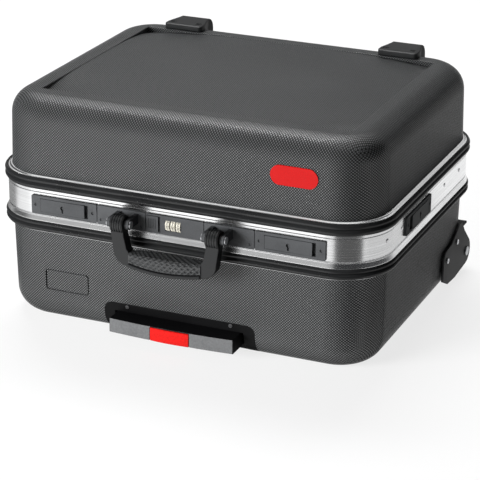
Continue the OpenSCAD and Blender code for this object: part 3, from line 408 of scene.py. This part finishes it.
height = arithmetic(pressed_grain, "DIVIDE", total, whole)
# The tone darkens the pits as painted shade and lightens the tips as painted highlights
tone = mapped(pressed_grain, height, GRAIN_PIT, GRAIN_TIP, PIT_PAINTED_SHADE, TIP_PAINTED_HIGHLIGHT)
pressed_grain.links.new(height, result["Height"])
pressed_grain.links.new(tone, result["Tone"])

# Handling: cloudy rubbing over the faces, and paler edges where hands and floors touch
EDGE_FROM, EDGE_TO = 0.52, 0.60
BROKEN_FROM, BROKEN_TO = 0.35, 0.65
CLOUD_LOW, CLOUD_HIGH = 0.3, 0.7
handling, given, result = effect("Handling", {"Patch Size": 9.0, "Edge": 0.5}, ["Cloud", "Rubbed"])
spot = add_node(handling, "ShaderNodeTexCoord").outputs["Object"]
cloud = noise(handling, spot, given["Patch Size"], 4.0)
edge = add_node(handling, "ShaderNodeNewGeometry").outputs["Pointiness"]
edge = mapped(handling, edge, EDGE_FROM, EDGE_TO)
broken = mapped(handling, cloud, BROKEN_FROM, BROKEN_TO)
edge = arithmetic(handling, "MULTIPLY", edge, broken)
edge = arithmetic(handling, "MULTIPLY", edge, given["Edge"])
handling.links.new(cloud, result["Cloud"])
handling.links.new(edge, result["Rubbed"])
SHEEN_FROM, SHEEN_TO, SHEEN_LEFT = 0.2, 0.6, 0.1


def start_material(name):
    """A new material with its Principled shader and output in place."""
    material, tree = blank_material(name)
    shader = tree.nodes.new("ShaderNodeBsdfPrincipled")
    add_node(tree, "ShaderNodeOutputMaterial", {"Surface": shader.outputs[0]})
    return material, tree, shader


def tinted(tree, colour, factor, pale, share):
    """A colour that a factor darkens or lightens, and that turns pale where share is high."""
    scaled = add_node(tree, "ShaderNodeVectorMath", {0: colour, "Scale": factor},
                      operation="SCALE").outputs[0]
    mix = add_node(tree, "ShaderNodeMix", {0: share, 6: scaled, 7: (*pale, 1)}, data_type="RGBA")
    return mix.outputs[2]


def low_sheen(tree, shader, level, factor=None):
    """A specular level that falls off at a flat angle, where the grain hides itself."""
    facing = add_node(tree, "ShaderNodeLayerWeight").outputs["Facing"]
    sheen = mapped(tree, facing, SHEEN_FROM, SHEEN_TO, level, level * SHEEN_LEFT)
    if factor:
        sheen = arithmetic(tree, "MULTIPLY", sheen, factor)
    tree.links.new(sheen, shader.inputs["Specular IOR Level"])


def cloudy_finish(tree, shader, base, cloud, roughness, swing):
    """The colour, and a roughness that swings with the cloud."""
    tree.links.new(base, shader.inputs["Base Color"])
    rough = mapped(tree, cloud, CLOUD_LOW, CLOUD_HIGH, roughness - swing, roughness + swing)
    tree.links.new(rough, shader.inputs["Roughness"])


def raised(tree, shader, height, strength, depth):
    """Lets a height stand out as a fine relief."""
    bump = add_node(tree, "ShaderNodeBump",
                    {"Height": height, "Strength": strength, "Distance": depth})
    tree.links.new(bump.outputs[0], shader.inputs["Normal"])


def grained_sheet(name, colour, roughness, pitch, depth):
    """Drawn sheet with the pressed grain, its pits darkened by painted shade and its tips
    lightened by painted highlights.
    """
    material, tree, shader = start_material(name)
    grain = place_effect(tree, pressed_grain, Pitch=pitch)
    wear = place_effect(tree, handling, Patch_Size=6.0, Edge=0.5)
    cloudy = mapped(tree, wear["Cloud"], CLOUD_LOW, CLOUD_HIGH, 0.93, 1.07)
    # The grain's tone carries painted shade in the pits and painted highlights on the tips
    factor = arithmetic(tree, "MULTIPLY", grain["Tone"], cloudy)
    base = tinted(tree, colour, factor, [c * 2.2 for c in colour], wear["Rubbed"])
    cloudy_finish(tree, shader, base, wear["Cloud"], roughness, 0.05)
    low_sheen(tree, shader, 0.8, grain["Tone"])
    raised(tree, shader, grain["Height"], 0.6, depth)
    return material


shell_sheet = grained_sheet("charcoal shell sheet", (0.042, 0.0435, 0.0445), 0.34, 0.0034, 0.0006)


def base_tray():
    """The base's outside, drawn down from the frame and rounded into the flat floor."""
    bm = bmesh.new()
    radius = EDGE_R * 1000
    section = [(SHEET_IN, BASE_RIM_Z), (SHEET_IN, BASE_LINE_Z)]
    section += quarter_turn((BASE_BEND_IN - radius, radius), radius, 0, -90)
    rings = round_the_case(bm, section, closed=False)
    bm.faces.new([ring[-1] for ring in rings])
    tray = cut(as_sheet(new_piece("base_shell_sheet", bm)), LOCK_WINDOWS + WHEEL_WELLS)
    for hollow in (HOUSING_MOUTH, LABEL_FIELD):
        bm = bmesh.new()
        rounded_block(bm, *hollow)
        subtract(tray, bm)
    return tray


def panel_height(u, v):
    """Height of the sunk panel over the rim: crowned in the middle, lowest in the corners."""
    return CROWN * (1 - u * u) * (1 - v * v) - CORNER_DIP * u ** 4 * v ** 4 - EDGE_STEP


def at_end(place, reach):
    """1 or -1 at the two ends of the panel, 0 between them."""
    return (place > reach - 1e-6) - (place < -reach + 1e-6)


def lid_tray():
    """The lid's outside: sides, rounded edge, flat rim and the sunk crowned panel."""
    bm = bmesh.new()
    radius = EDGE_R * 1000
    section = [(SHEET_IN, LID_RIM_Z), (SHEET_IN, LID_LINE_Z)]
    section += quarter_turn((LID_BEND_IN - radius, (TOP_Z - EDGE_R) * 1000), radius, 0, 90)
    top_ring = [ring[-1] for ring in round_the_case(bm, section, closed=False)]

    # The panel, a grid of faces
    across, along = PANEL_STEPS
    grid = []
    for v in (2 * j / along - 1 for j in range(along + 1)):
        grid.append([bm.verts.new((PANEL_W * u, PANEL_D * v, TOP_Z + panel_height(u, v)))
                     for u in (2 * i / across - 1 for i in range(across + 1))])
    for j in range(along):
        for i in range(across):
            bm.faces.new((grid[j][i], grid[j][i + 1], grid[j + 1][i + 1], grid[j + 1][i]))

    # The step from the panel's border up to the rim, with a small round lip
    border = ([grid[0][i] for i in range(across)] + [grid[j][across] for j in range(along)]
              + [grid[along][i] for i in range(across, 0, -1)]
              + [grid[j][0] for j in range(along, 0, -1)])
    lip_profile = quarter_turn((1.0, -1.0), 1.0, 90, 180, 4)
    steps = []
    for edge_vertex in border:
        x, y, z = edge_vertex.co
        out = Vector((at_end(x, PANEL_W), at_end(y, PANEL_D), 0))
        ease = min(LIP_R, (TOP_Z - z) * LIP_SHARE)
        steps.append([bm.verts.new(Vector((x, y, TOP_Z)) + out * ease * away
                                   + Vector((0, 0, ease * low)))
                      for away, low in lip_profile] + [edge_vertex])
    for here, there in zip(steps, steps[1:] + steps[:1]):
        for k in range(len(here) - 1):
            bm.faces.new((here[k], there[k], there[k + 1], here[k + 1]))

    # The flat rim between the lip and the rounded edge
    loops = []
    for loop in (top_ring, [column[0] for column in steps]):
        loops += [bm.edges.get(pair) or bm.edges.new(pair)
                  for pair in zip(loop, loop[1:] + loop[:1])]
    bmesh.ops.triangle_fill(bm, edges=loops, use_beauty=True, normal=(0, 0, 1))
    return as_sheet(new_piece("lid_shell_sheet", bm))


base_sheet, lid_sheet = base_tray(), lid_tray()
finish_piece(flat_normals(base_sheet), "base", "shell", shell_sheet, "base_shell")
bm = bmesh.new()
rounded_block(bm, *LABEL_PLATE)
leaned = (Matrix.Translation((0, 0, LABEL_Z)) @ Matrix.Shear("XY", 4, (0, LABEL_LEAN))
          @ Matrix.Translation((0, 0, -LABEL_Z)))
bmesh.ops.transform(bm, matrix=leaned, verts=bm.verts)
finish_piece(round_edges(new_piece("label_field", bm), 0.0003), "base", "shell", shell_sheet)
finish_piece(flat_normals(lid_sheet), "lid", "shell", shell_sheet, "lid_shell")

# ---------- Aluminium frames ----------
# Extruded aluminium sections, bent round the corners and brushed. The shells are glued and
# pressed into their channels, and the lock housings sit in windows cut in the base's frame.

# Brushed lines: fine streaks along the sections
STREAKS = (9.0, 9.0, 1500.0)
LINE_DEPTH = 0.00003
brushing, given, result = effect("Brushed lines", {"Fineness": 1.0}, ["Tone", "Height"])
spot = add_node(brushing, "ShaderNodeTexCoord").outputs["Object"]
drawn = vector_step(brushing, "MULTIPLY", spot, STREAKS)
streak = noise(brushing, drawn, given["Fineness"], 3.0)
tone = mapped(brushing, streak, CLOUD_LOW, CLOUD_HIGH, 0.86, 1.1)
brushing.links.new(tone, result["Tone"])
brushing.links.new(streak, result["Height"])


def brushed_metal(name, colour, roughness, fineness=1.0, smudge=0.08):
    """Bare metal with brushed lines and the smudges of hands."""
    material, tree, shader = start_material(name)
    lines = place_effect(tree, brushing, Fineness=fineness)
    wear = place_effect(tree, handling, Patch_Size=11.0, Edge=0.3)
    base = tinted(tree, colour, lines["Tone"], [min(1, c * 1.2) for c in colour], wear["Rubbed"])
    shader.inputs["Metallic"].default_value = 1.0
    cloudy_finish(tree, shader, base, wear["Cloud"], roughness, smudge)
    raised(tree, shader, lines["Height"], 0.12, LINE_DEPTH)
    return material


frame_metal = brushed_metal("brushed aluminium", (0.88, 0.885, 0.89), 0.26)


def eased(points, radius):
    """A closed section with its corners rounded a little, as an extrusion die leaves them."""
    rounded = []
    for i, corner in enumerate(points):
        here = Vector(corner)
        before, after = Vector(points[i - 1]), Vector(points[(i + 1) % len(points)])
        reach = min(radius, (before - here).length * 0.45, (after - here).length * 0.45)
        start = here + (before - here).normalized() * reach
        end = here + (after - here).normalized() * reach
        for t in (0, 1 / 3, 2 / 3, 1):
            rounded.append(tuple(start * (1 - t) ** 2 + here * 2 * t * (1 - t) + end * t * t))
    return rounded


def swept(name, section):
    """A section bent round the whole case."""
    bm = bmesh.new()
    round_the_case(bm, section, closed=True, steps=20)
    return new_piece(name, bm)


# Sections as (outward offset, height) in mm, with two fine grooves along the base's face
base_section = [(-0.2, 119.3), (-0.2, 120.2), (0, 120.7), (0, 133.5), (2, 133.5), (2, 134.1),
                (0, 139.2)]
for groove in (140.2, 141.4):
    base_section += [(0, groove - 0.4), (-0.5, groove), (0, groove + 0.4)]
base_section += [(0, 169), (-4, 169), (-4, 167), (-8, 167), (-8, 169), (-12, 169), (-12, 136.5),
                 (-9.2, 136.5), (-9.2, 164), (-2.5, 164), (-2.5, 122.1), (-5.2, 122.1),
                 (-5.2, 119.3)]
lid_section = [(0, 169.3), (0, 186.6), (-2.2, 187.3), (-3.4, 188.6), (-5.2, 189.2), (-5.2, 185.3),
               (-2.5, 185.3), (-2.5, 174.3), (-9.2, 174.3), (-9.2, 187.3), (-12, 187.3),
               (-12, 169.3)]
base_frame = cut(swept("base_frame_section", eased(base_section, 0.5)), LOCK_WINDOWS)
lid_frame = swept("lid_frame_section", eased(lid_section, 0.7))
finish_piece(flat_normals(base_frame), "base", "aluminium", frame_metal, "base_frame")
finish_piece(flat_normals(lid_frame), "lid", "aluminium", frame_metal, "lid_frame")

# ---------- Bumper bands ----------
# Black vinyl strips with two soft ridges, pressed onto both frames as bumpers. They are
# extruded, so their sheen runs along the case in even lines.

# Moulded grain: the fine spark texture of a mould, and the cloudy tone that goes with it
moulded_grain, given, result = effect("Moulded grain", {"Size": 900.0}, ["Height", "Tone"])
spot = add_node(moulded_grain, "ShaderNodeTexCoord").outputs["Object"]
fine = noise(moulded_grain, spot, given["Size"], 2.0)
tone = mapped(moulded_grain, fine, CLOUD_LOW, CLOUD_HIGH, 0.86, 1.14)
moulded_grain.links.new(fine, result["Height"])
moulded_grain.links.new(tone, result["Tone"])


def moulded(name, colour, roughness, grain, depth, edge=0.5, patch=14.0, gloss=0.4):
    """Moulded plastic: a fine grain, a cloudy sheen and edges that handling has paled."""
    material, tree, shader = start_material(name)
    skin = place_effect(tree, moulded_grain, Size=grain)
    wear = place_effect(tree, handling, Patch_Size=patch, Edge=edge)
    cloudy = mapped(tree, wear["Cloud"], CLOUD_LOW, CLOUD_HIGH, 0.9, 1.1)
    factor = arithmetic(tree, "MULTIPLY", skin["Tone"], cloudy)
    base = tinted(tree, colour, factor, [min(1, c * 1.6 + 0.01) for c in colour], wear["Rubbed"])
    cloudy_finish(tree, shader, base, wear["Cloud"], roughness, 0.05)
    low_sheen(tree, shader, gloss)
    raised(tree, shader, skin["Height"], 0.5, depth)
    return material


bumper_vinyl = moulded("bumper vinyl", (0.014, 0.0145, 0.015), 0.3, 500, 0.00002, gloss=0.5)
BAND_OUT, BAND_FOOT, VALLEY, RIDGE_STEPS = 3.9, 0.1, 0.55, 24


def ridges(low, height):
    """Section of a band with two soft ridges."""
    face = []
    for i in range(RIDGE_STEPS + 1):
        swell = abs(sin(2 * pi * i / RIDGE_STEPS)) ** 1.2
        face.append((BAND_OUT * (VALLEY + (1 - VALLEY) * swell), low + height * i / RIDGE_STEPS))
    return [(BAND_FOOT, low)] + face + [(BAND_FOOT, low + height)]


base_band = swept("base_bumper_band", ridges(120.8, 12.6))
lid_band = swept("lid_bumper_band", ridges(173.6, 13.6))
finish_piece(flat_normals(base_band, 50), "base", "bumper", bumper_vinyl, "base_band")
finish_piece(flat_normals(lid_band, 50), "lid", "bumper", bumper_vinyl, "lid_band")

# ---------- Seal and rivets ----------
# A foam rubber seal lies in the base frame's groove. Small domed aluminium rivets hold the
# latches' backing strips to the frame's sides.


def dress(node, material):
    """Gives a CAD node that shows as it is its material."""
    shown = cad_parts[node]
    for place in shown.material_slots:
        place.material = material


dress("frame_seal", moulded("seal rubber", (0.02, 0.02, 0.02), 0.8, 600, 0.0002))


def turned(bm, centre, profile, turn, steps=32):
    """Turns (along, radius) points in mm about an axis. turn maps the x axis onto that axis."""
    rings = []
    for along, radius in profile:
        count = steps if radius > 1e-6 else 1
        rings.append([bm.verts.new((Vector(centre) + turn @ Vector((
            along, radius * cos(2 * pi * i / steps), radius * sin(2 * pi * i / steps)))) / 1000)
            for i in range(count)])
    for one, two in zip(rings, rings[1:]):
        for i in range(steps):
            j = (i + 1) % steps
            ends = [one[i % len(one)], one[j % len(one)], two[j % len(two)], two[i % len(two)]]
            bm.faces.new(list(dict.fromkeys(ends)))


RIVET_Z, RIVET_Y, RIVET_LEAN = 158.5, (-104, 54, 112), radians(-15)
rivet_dome = [(0, 2.6), (0.3, 2.58), (0.7, 2.2), (0.95, 1.4), (1.05, 0)]
side_x, bend_x, bend_y, bend_r = 245, 182, -132, 63
bm = bmesh.new()
for side in (-1, 1):
    outward = 0 if side > 0 else pi
    for y in RIVET_Y:
        turned(bm, (side * side_x, y, RIVET_Z), rivet_dome, Matrix.Rotation(outward, 3, "Z"))
    foot = Vector((side * (bend_x + bend_r * cos(RIVET_LEAN)),
                   bend_y + bend_r * sin(RIVET_LEAN), RIVET_Z))
    outward = RIVET_LEAN if side > 0 else pi - RIVET_LEAN
    turned(bm, foot, rivet_dome, Matrix.Rotation(outward, 3, "Z"))
rivets = flat_normals(new_piece("domed_rivets", bm))
rivet_metal = brushed_metal("rivet aluminium", (0.8, 0.8, 0.81), 0.3, 3.0)
finish_piece(rivets, "base", "steel", rivet_metal, "frame_rivets")

# ---------- Hinges ----------
# Three steel hinges at the rear: leaves riveted to both frames, rolled round a steel pin.
# Steel keepers inside the lid's frame catch the bolts of the locks.

zinc_plate = brushed_metal("zinc plated steel", (0.62, 0.63, 0.65), 0.36, 2.0, smudge=0.1)


def moulding(node, edge, body, slot, material, segments=2, flat=1.0, sharper_than=32,
             shortest=1.6):
    """A CAD node's shape with its edges rounded, which stands for that node."""
    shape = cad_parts[node].data
    bare = bpy.data.meshes.new(node + "_bare")
    bare.from_pydata([v.co for v in shape.vertices], [],
                     [tuple(f.vertices) for f in shape.polygons])
    bm = bmesh.new()
    bm.from_mesh(bare)
    bmesh.ops.remove_doubles(bm, verts=bm.verts, dist=2e-6)
    bmesh.ops.dissolve_limit(bm, angle_limit=radians(flat), verts=bm.verts, edges=bm.edges)
    piece = round_edges(new_piece(node + "_piece", bm), edge, segments, sharper_than, shortest)
    return finish_piece(piece, body, slot, material, node)


moulding("hinge_base_leaves", 0.0003, "base", "steel", zinc_plate)
moulding("hinge_lid_leaves", 0.0003, "lid", "steel", zinc_plate)
moulding("hinge_pins", 0.0004, "base", "steel", zinc_plate)
moulding("lid_keepers", 0.0003, "lid", "keeper_steel", zinc_plate)

# ---------- Sliding locks ----------
# Black nylon housings with a plate on the outside. A recessed slider with a keyhole moves
# sideways in each and pushes a bolt into the lid's keeper.

lock_nylon = moulded("lock plate nylon", (0.055, 0.057, 0.06), 0.5, 700, 0.00008)
slider_nylon = moulded("slider nylon", (0.05, 0.052, 0.055), 0.42, 900, 0.00005)
for lock in ("lock", "side_latch"):
    for side in ("left", "right"):
        moulding(f"{lock}_body_{side}", 0.00035, "base", "lock_plastic", lock_nylon)
        moulding(f"{lock}_slider_{side}", 0.0004, f"{lock}_{side}", "slider_plastic", slider_nylon)

# ---------- Combination lock ----------
# A plate like the locks' with a thumb slide and three ivory dials on a steel shaft. Each
# dial has ten flats, printed 0 to 9, and notches between them for a fingertip.

DIAL_X, DIAL_Y, DIAL_Z = (-8.9, -2.0, 4.9), -191.0, 154.0
DIAL_FLAT, DIAL_W, DIAL_EASE, EASED_RIM, DIAL_TURN = 8.15, 5.4, 0.35, 0.955, 36
# One flat and the notch after it: degrees from the flat's middle, and radius in mm
DIAL_FACET = ((-13.5, 8.38), (13.5, 8.38), (15.3, 7.95), (18, 7.6), (20.7, 7.95))
NUMBER_SIZE, NUMBER_WIDTH, INK_SPREAD, INK_T = 6.4, 0.92, 0.12, 0.03

moulding("combination_body", 0.00035, "base", "lock_plastic", lock_nylon, shortest=4)
moulding("combination_release", 0.00025, "combination_slide", "slider_plastic", slider_nylon)
moulding("digit_wheel_shaft", 0.0002, "base", "steel", zinc_plate)
dial_ivory = moulded("ivory dial", (0.66, 0.63, 0.54), 0.32, 1200, 0.00002, edge=0.3)
dial_ink = moulded("dial ink", (0.02, 0.02, 0.022), 0.5, 1500, 0.00001, edge=0.0)


def join_rings(bm, one, two):
    """Faces between two closed rings of points."""
    for i in range(len(one)):
        j = (i + 1) % len(one)
        bm.faces.new((one[i], one[j], two[j], two[i]))


def dial(centre):
    """Ten flats with a fingertip notch between each two."""
    bm = bmesh.new()
    rim = []
    for k in range(10):
        for angle, radius in DIAL_FACET:
            a = radians(DIAL_TURN * k + angle)
            rim.append((radius * sin(a), radius * cos(a)))
    half = DIAL_W / 2
    loops = []
    for x, scale in ((-half, EASED_RIM), (-half + DIAL_EASE, 1), (half - DIAL_EASE, 1),
                     (half, EASED_RIM)):
        loops.append([bm.verts.new(Vector((centre[0] + x, centre[1] + y * scale,
                                           centre[2] + z * scale)) / 1000) for y, z in rim])
    bm.faces.new(loops[0])
    bm.faces.new(loops[-1][::-1])
    for one, two in zip(loops, loops[1:]):
        join_rings(bm, one, two)
    return bm


def printed_numbers(name, centre):
    """The numbers 0 to 9 on a dial's flats, upright where they face the front."""
    bm = bmesh.new()
    lift = DIAL_FLAT + INK_T
    for k in range(10):
        letter = bpy.data.curves.new("number", "FONT")
        letter.body = str(k)
        letter.size = NUMBER_SIZE
        letter.align_x = "CENTER"
        letter.offset = INK_SPREAD
        shape = bpy.data.objects.new("number", letter)
        scene.collection.objects.link(shape)
        print_mesh = shape.to_mesh().copy()
        bpy.data.objects.remove(shape)
        face = bmesh.new()
        face.from_mesh(print_mesh)
        middle = (max(v.co.y for v in face.verts) + min(v.co.y for v in face.verts)) / 2
        a = radians(DIAL_TURN * k)
        for v in face.verts:
            x, up = v.co.x * NUMBER_WIDTH, v.co.y - middle
            v.co = Vector((centre[0] + x, centre[1] - lift * cos(a) - up * sin(a),
                           centre[2] - lift * sin(a) + up * cos(a))) / 1000
        face.to_mesh(print_mesh)
        face.free()
        bm.from_mesh(print_mesh)
    piece = new_piece(name, bm)
    piece.data.shade_flat()
    return piece


for number, x in enumerate(DIAL_X, 1):
    place = (x, DIAL_Y, DIAL_Z)
    wheel = flat_normals(new_piece(f"dial_{number}", dial(place)), 20)
    finish_piece(wheel, f"digit_{number}", "digit", dial_ivory, f"digit_wheel_{number}")
    finish_piece(printed_numbers(f"dial_numbers_{number}", place), f"digit_{number}", "digit",
                 dial_ink)

# ---------- Carrying handle ----------
# Two ear plates riveted to the frame carry steel pins. The handle is a smooth nylon bow with
# ringed hubs, and a soft pad with a net of diamond ridges is moulded onto its foot.

PIVOT_Y, PIVOT_Z = -219.5, 157.0
HUB_X, HUB_HALF, HUB_R, GROOVE_R, RING_R = 60, 8.0, 10.3, 10.45, 11.15
RINGS_AT, RING_FOOT, RING_TOP = (-6.2, -3.1, 0, 3.1, 6.2), 1.15, 0.75

arm_nylon = moulded("handle nylon", (0.014, 0.0145, 0.015), 0.42, 800, 0.00004)
grip_rubber = moulded("grip rubber", (0.022, 0.023, 0.024), 0.3, 500, 0.00006, edge=1.0,
                      patch=30.0, gloss=1.0)
for side in ("left", "right"):
    moulding(f"handle_bracket_{side}", 0.0006, "base", "lock_plastic", lock_nylon)
moulding("handle_pins", 0.0005, "base", "steel", zinc_plate)
moulding("handle_frame", 0.0012, "handle", "handle_plastic", arm_nylon, segments=3,
         sharper_than=40, shortest=0)

bm = bmesh.new()
for side in (-1, 1):
    rings = [(-HUB_HALF, HUB_R)]
    for ring in RINGS_AT:
        rings += [(ring - RING_FOOT, GROOVE_R), (ring - RING_TOP, RING_R),
                  (ring + RING_TOP, RING_R), (ring + RING_FOOT, GROOVE_R)]
    rings.append((HUB_HALF, HUB_R))
    turned(bm, (side * HUB_X, PIVOT_Y, PIVOT_Z), rings, Matrix.Identity(3), 48)
finish_piece(flat_normals(new_piece("hub_rings", bm), 60), "handle", "handle_plastic", arm_nylon)

# The pad in mm from the pivot: its half length, its heights, and how it narrows and lifts
# towards its ends
PAD_HALF, PAD_BOTTOM, PAD_TOP = 45.75, -47.9, -32.0
PAD_DEEP, PAD_TAPER, PAD_LIFT, LIFT_HALF = 13.5, 5.5, 3, 47.25
TOP_CORNER, FOOT_CORNER, CORNER_STEPS = 4.0, 1.6, 6
RIDGE_PITCH, PIT_DEPTH, PIT_FADE, PIT_ROUND = 7.2, 1.6, 1.5, 0.8
PAD_RINGS, RING_POINTS = 170, 112


def folded(value, period):
    """0 at whole periods, 1 halfway between them."""
    return 1 - abs((value / period) % 1 * 2 - 1)


def net_of_ridges(u, v):
    """0 in the middle of a diamond pit, 1 on the ridges that cross between the pits."""
    return 1 - min(folded(u + v, RIDGE_PITCH), folded(u - v, RIDGE_PITCH))


def pad_ring(bm, x):
    """The pad's outline at one place along it, pressed in between the ridges."""
    half = PAD_DEEP - PAD_TAPER * (x / PAD_HALF) ** 2
    low = PAD_BOTTOM + PAD_LIFT * (x / LIFT_HALF) ** 2
    fade = min(1, (PAD_HALF - abs(x)) / PIT_FADE)
    outline = []
    for sy, sz, start in ((-1, -1, 180), (-1, 1, 90), (1, 1, 0), (1, -1, -90)):
        reach = TOP_CORNER if sz > 0 else FOOT_CORNER
        middle = (sy * (half - reach), PAD_TOP - reach if sz > 0 else low + reach)
        outline += quarter_turn(middle, reach, start + 90, start, CORNER_STEPS)
    points = [Vector(point) for point in outline]
    lengths = [0.0]
    for one, two in zip(points, points[1:] + points[:1]):
        lengths.append(lengths[-1] + (two - one).length)
    ring = []
    for k in range(RING_POINTS):
        at = lengths[-1] * k / RING_POINTS
        j = max(n for n in range(len(points)) if lengths[n] <= at)
        one, two = points[j], points[(j + 1) % len(points)]
        step = max(lengths[j + 1] - lengths[j], 1e-9)
        along = (two - one).normalized()
        pit = (1 - net_of_ridges(x, at - lengths[CORNER_STEPS])) ** PIT_ROUND
        spot = one.lerp(two, (at - lengths[j]) / step)
        spot = spot + Vector((-along.y, along.x)) * (-PIT_DEPTH * fade * pit)
        ring.append(bm.verts.new(Vector((x, PIVOT_Y + spot.x, PIVOT_Z + spot.y)) / 1000))
    return ring


def grip_pad():
    """The pad: a rounded block that bulges to its middle, with a net of ridges all round."""
    bm = bmesh.new()
    rings = [pad_ring(bm, PAD_HALF * (2 * i / PAD_RINGS - 1)) for i in range(PAD_RINGS + 1)]
    for one, two in zip(rings, rings[1:]):
        join_rings(bm, one, two)
    bm.faces.new(rings[0])
    bm.faces.new(rings[-1][::-1])
    return new_piece("grip_pad", bm)


finish_piece(grip_pad(), "handle", "grip_rubber", grip_rubber, "handle_grip")

# ---------- Telescopic handle ----------
# A black housing let into the base's front edge carries three stages of anodised tube. The
# pull bar closes it at the front, and a red button in the bar releases the tubes.

housing_black = moulded("housing plastic", (0.003, 0.003, 0.0033), 0.55, 700, 0.00003, edge=0.2,
                        gloss=0.15)
bar_grey = moulded("pull bar face", (0.14, 0.143, 0.146), 0.5, 420, 0.00025, edge=0.4)
bar_black = moulded("pull bar plastic", (0.005, 0.005, 0.0055), 0.55, 700, 0.00003, edge=0.3,
                    gloss=0.2)
button_plastic = moulded("red button", (0.6, 0.007, 0.005), 0.34, 500, 0.00003, edge=0.15,
                         gloss=0.3)
tube_metal = brushed_metal("anodised tube", (0.72, 0.73, 0.74), 0.28, 1.6)
tray_sheet = moulded("tube cover sheet", (0.03, 0.03, 0.032), 0.55, 500, 0.0001)
moulding("trolley_housing", 0.0008, "base", "housing_plastic", housing_black)
moulding("trolley_cover", 0.0008, "base", "tray_plastic", tray_sheet)
dress("trolley_screws", brushed_metal("dull screw steel", (0.3, 0.3, 0.31), 0.4, 3.0))
for node in ("trolley_outer_tubes", "trolley_middle_tubes", "trolley_inner_tubes"):
    dress(node, tube_metal)
for node in ("trolley_outer_bushes", "trolley_middle_bushes"):
    dress(node, housing_black)

# The bar's front has a grey, coarser grained face
BAR_FACING_Y = -0.208
pull_bar = moulding("trolley_bar", 0.0009, "trolley_grip", "bar_plastic", bar_black, flat=0.01)
pull_bar.data.materials.append(bar_grey)
for face in pull_bar.data.polygons:
    if face.normal.y < -0.9 and face.center.y < BAR_FACING_Y:
        face.material_index = 1
moulding("trolley_button", 0.0009, "release_button", "button_red", button_plastic)

# ---------- Wheels ----------
# Black nylon brackets line the wells in the base's rear corners, each held by two screws.
# A dark wheel with a rubber tyre turns on a steel axle in each.

WHEEL_X, AXLE_Y, AXLE_Z = 216.6, 172.5, 28.0
bracket_nylon = moulded("bracket nylon", (0.011, 0.011, 0.012), 0.4, 600, 0.00006)
wheel_nylon = moulded("wheel nylon", (0.05, 0.051, 0.054), 0.45, 700, 0.00006)
tyre_rubber = moulded("tyre rubber", (0.018, 0.018, 0.018), 0.7, 400, 0.0002, edge=0.8)

# The tyre's section: (along the axle, radius) in mm, with round shoulders and two grooves
tyre_round = ([(-10, 22.1), (-11, 23.5)] + quarter_turn((-7, 23.5), 4, 180, 90, 6)
              + [(-4.6, 27.5), (-4.3, 26.8), (-3.3, 26.8), (-3.0, 27.5),
                 (3.0, 27.5), (3.3, 26.8), (4.3, 26.8), (4.6, 27.5)]
              + quarter_turn((7, 23.5), 4, 90, 0, 6) + [(10, 22.1)])
for side, turn in (("left", -1), ("right", 1)):
    moulding(f"wheel_bracket_{side}", 0.0004, "base", "bracket_plastic", bracket_nylon)
    moulding(f"wheel_{side}", 0.0005, f"{side}_wheel", "wheel_plastic", wheel_nylon)
    bm = bmesh.new()
    turned(bm, (turn * WHEEL_X, AXLE_Y, AXLE_Z), tyre_round, Matrix.Identity(3), 72)
    finish_piece(flat_normals(new_piece(f"tyre_{side}_piece", bm), 40), f"{side}_wheel", "tyre",
                 tyre_rubber, f"tyre_{side}")

# The lining starts as a block that ends inside the base's sheet. Cut by these boxes, given
# for the right side in mm, it is the well's roof, front wall and inner wall, 2 mm thick.
LINING_SECTION = [(-6.8, 100)] + quarter_turn((-37.443, 30), 29, 0, -90)
LINING_CUTS = (((-300, -300, -50), (196.5, 300, 300)), ((190, -300, -50), (300, 133.5, 300)),
               ((190, 120, 69), (300, 300, 300)), ((198.6, 135.6, -50), (300, 300, 66.9)))


def well_lining(name, side):
    """The thin lining that closes a wheel well from the bracket's plates to the shell."""
    bm = bmesh.new()
    rings = round_the_case(bm, LINING_SECTION, closed=False)
    bm.faces.new([ring[0] for ring in rings])
    bm.faces.new([ring[-1] for ring in rings])
    lining = new_piece(name, bm)
    for low, high in LINING_CUTS:
        if side < 0:
            low, high = (-high[0], *low[1:]), (-low[0], *high[1:])
        cut(lining, [(low, high)])
    return flat_normals(lining)


for side, turn in (("left", -1), ("right", 1)):
    finish_piece(well_lining(f"well_lining_{side}", turn), "base", "bracket_plastic",
                 bracket_nylon)
axle_steel = brushed_metal("axle steel", (0.42, 0.43, 0.44), 0.4, 2.0)
moulding("wheel_axles", 0.0005, "base", "steel", axle_steel)
moulding("bracket_screws", 0.0002, "base", "steel", zinc_plate)

# ---------- Stand feet and badge ----------
# Two moulded feet are screwed over the lid's rear edge, which the case rests on when it
# stands up on its wheels. A plain red badge is set into the lid's front.

foot_nylon = moulded("foot nylon", (0.018, 0.0185, 0.019), 0.48, 500, 0.00008)
black_steel = brushed_metal("blackened steel", (0.015, 0.015, 0.016), 0.5, 2.0)
badge_enamel = moulded("red enamel", (0.5, 0.004, 0.004), 0.25, 1500, 0.000005, edge=0.0,
                       patch=4.0, gloss=0.25)
for side in ("left", "right"):
    moulding(f"lid_foot_{side}", 0.0012, "lid", "foot_plastic", foot_nylon)
moulding("foot_screws", 0.0002, "lid", "black_screw", black_steel)
moulding("badge_plate", 0.0005, "lid", "badge_red", badge_enamel)
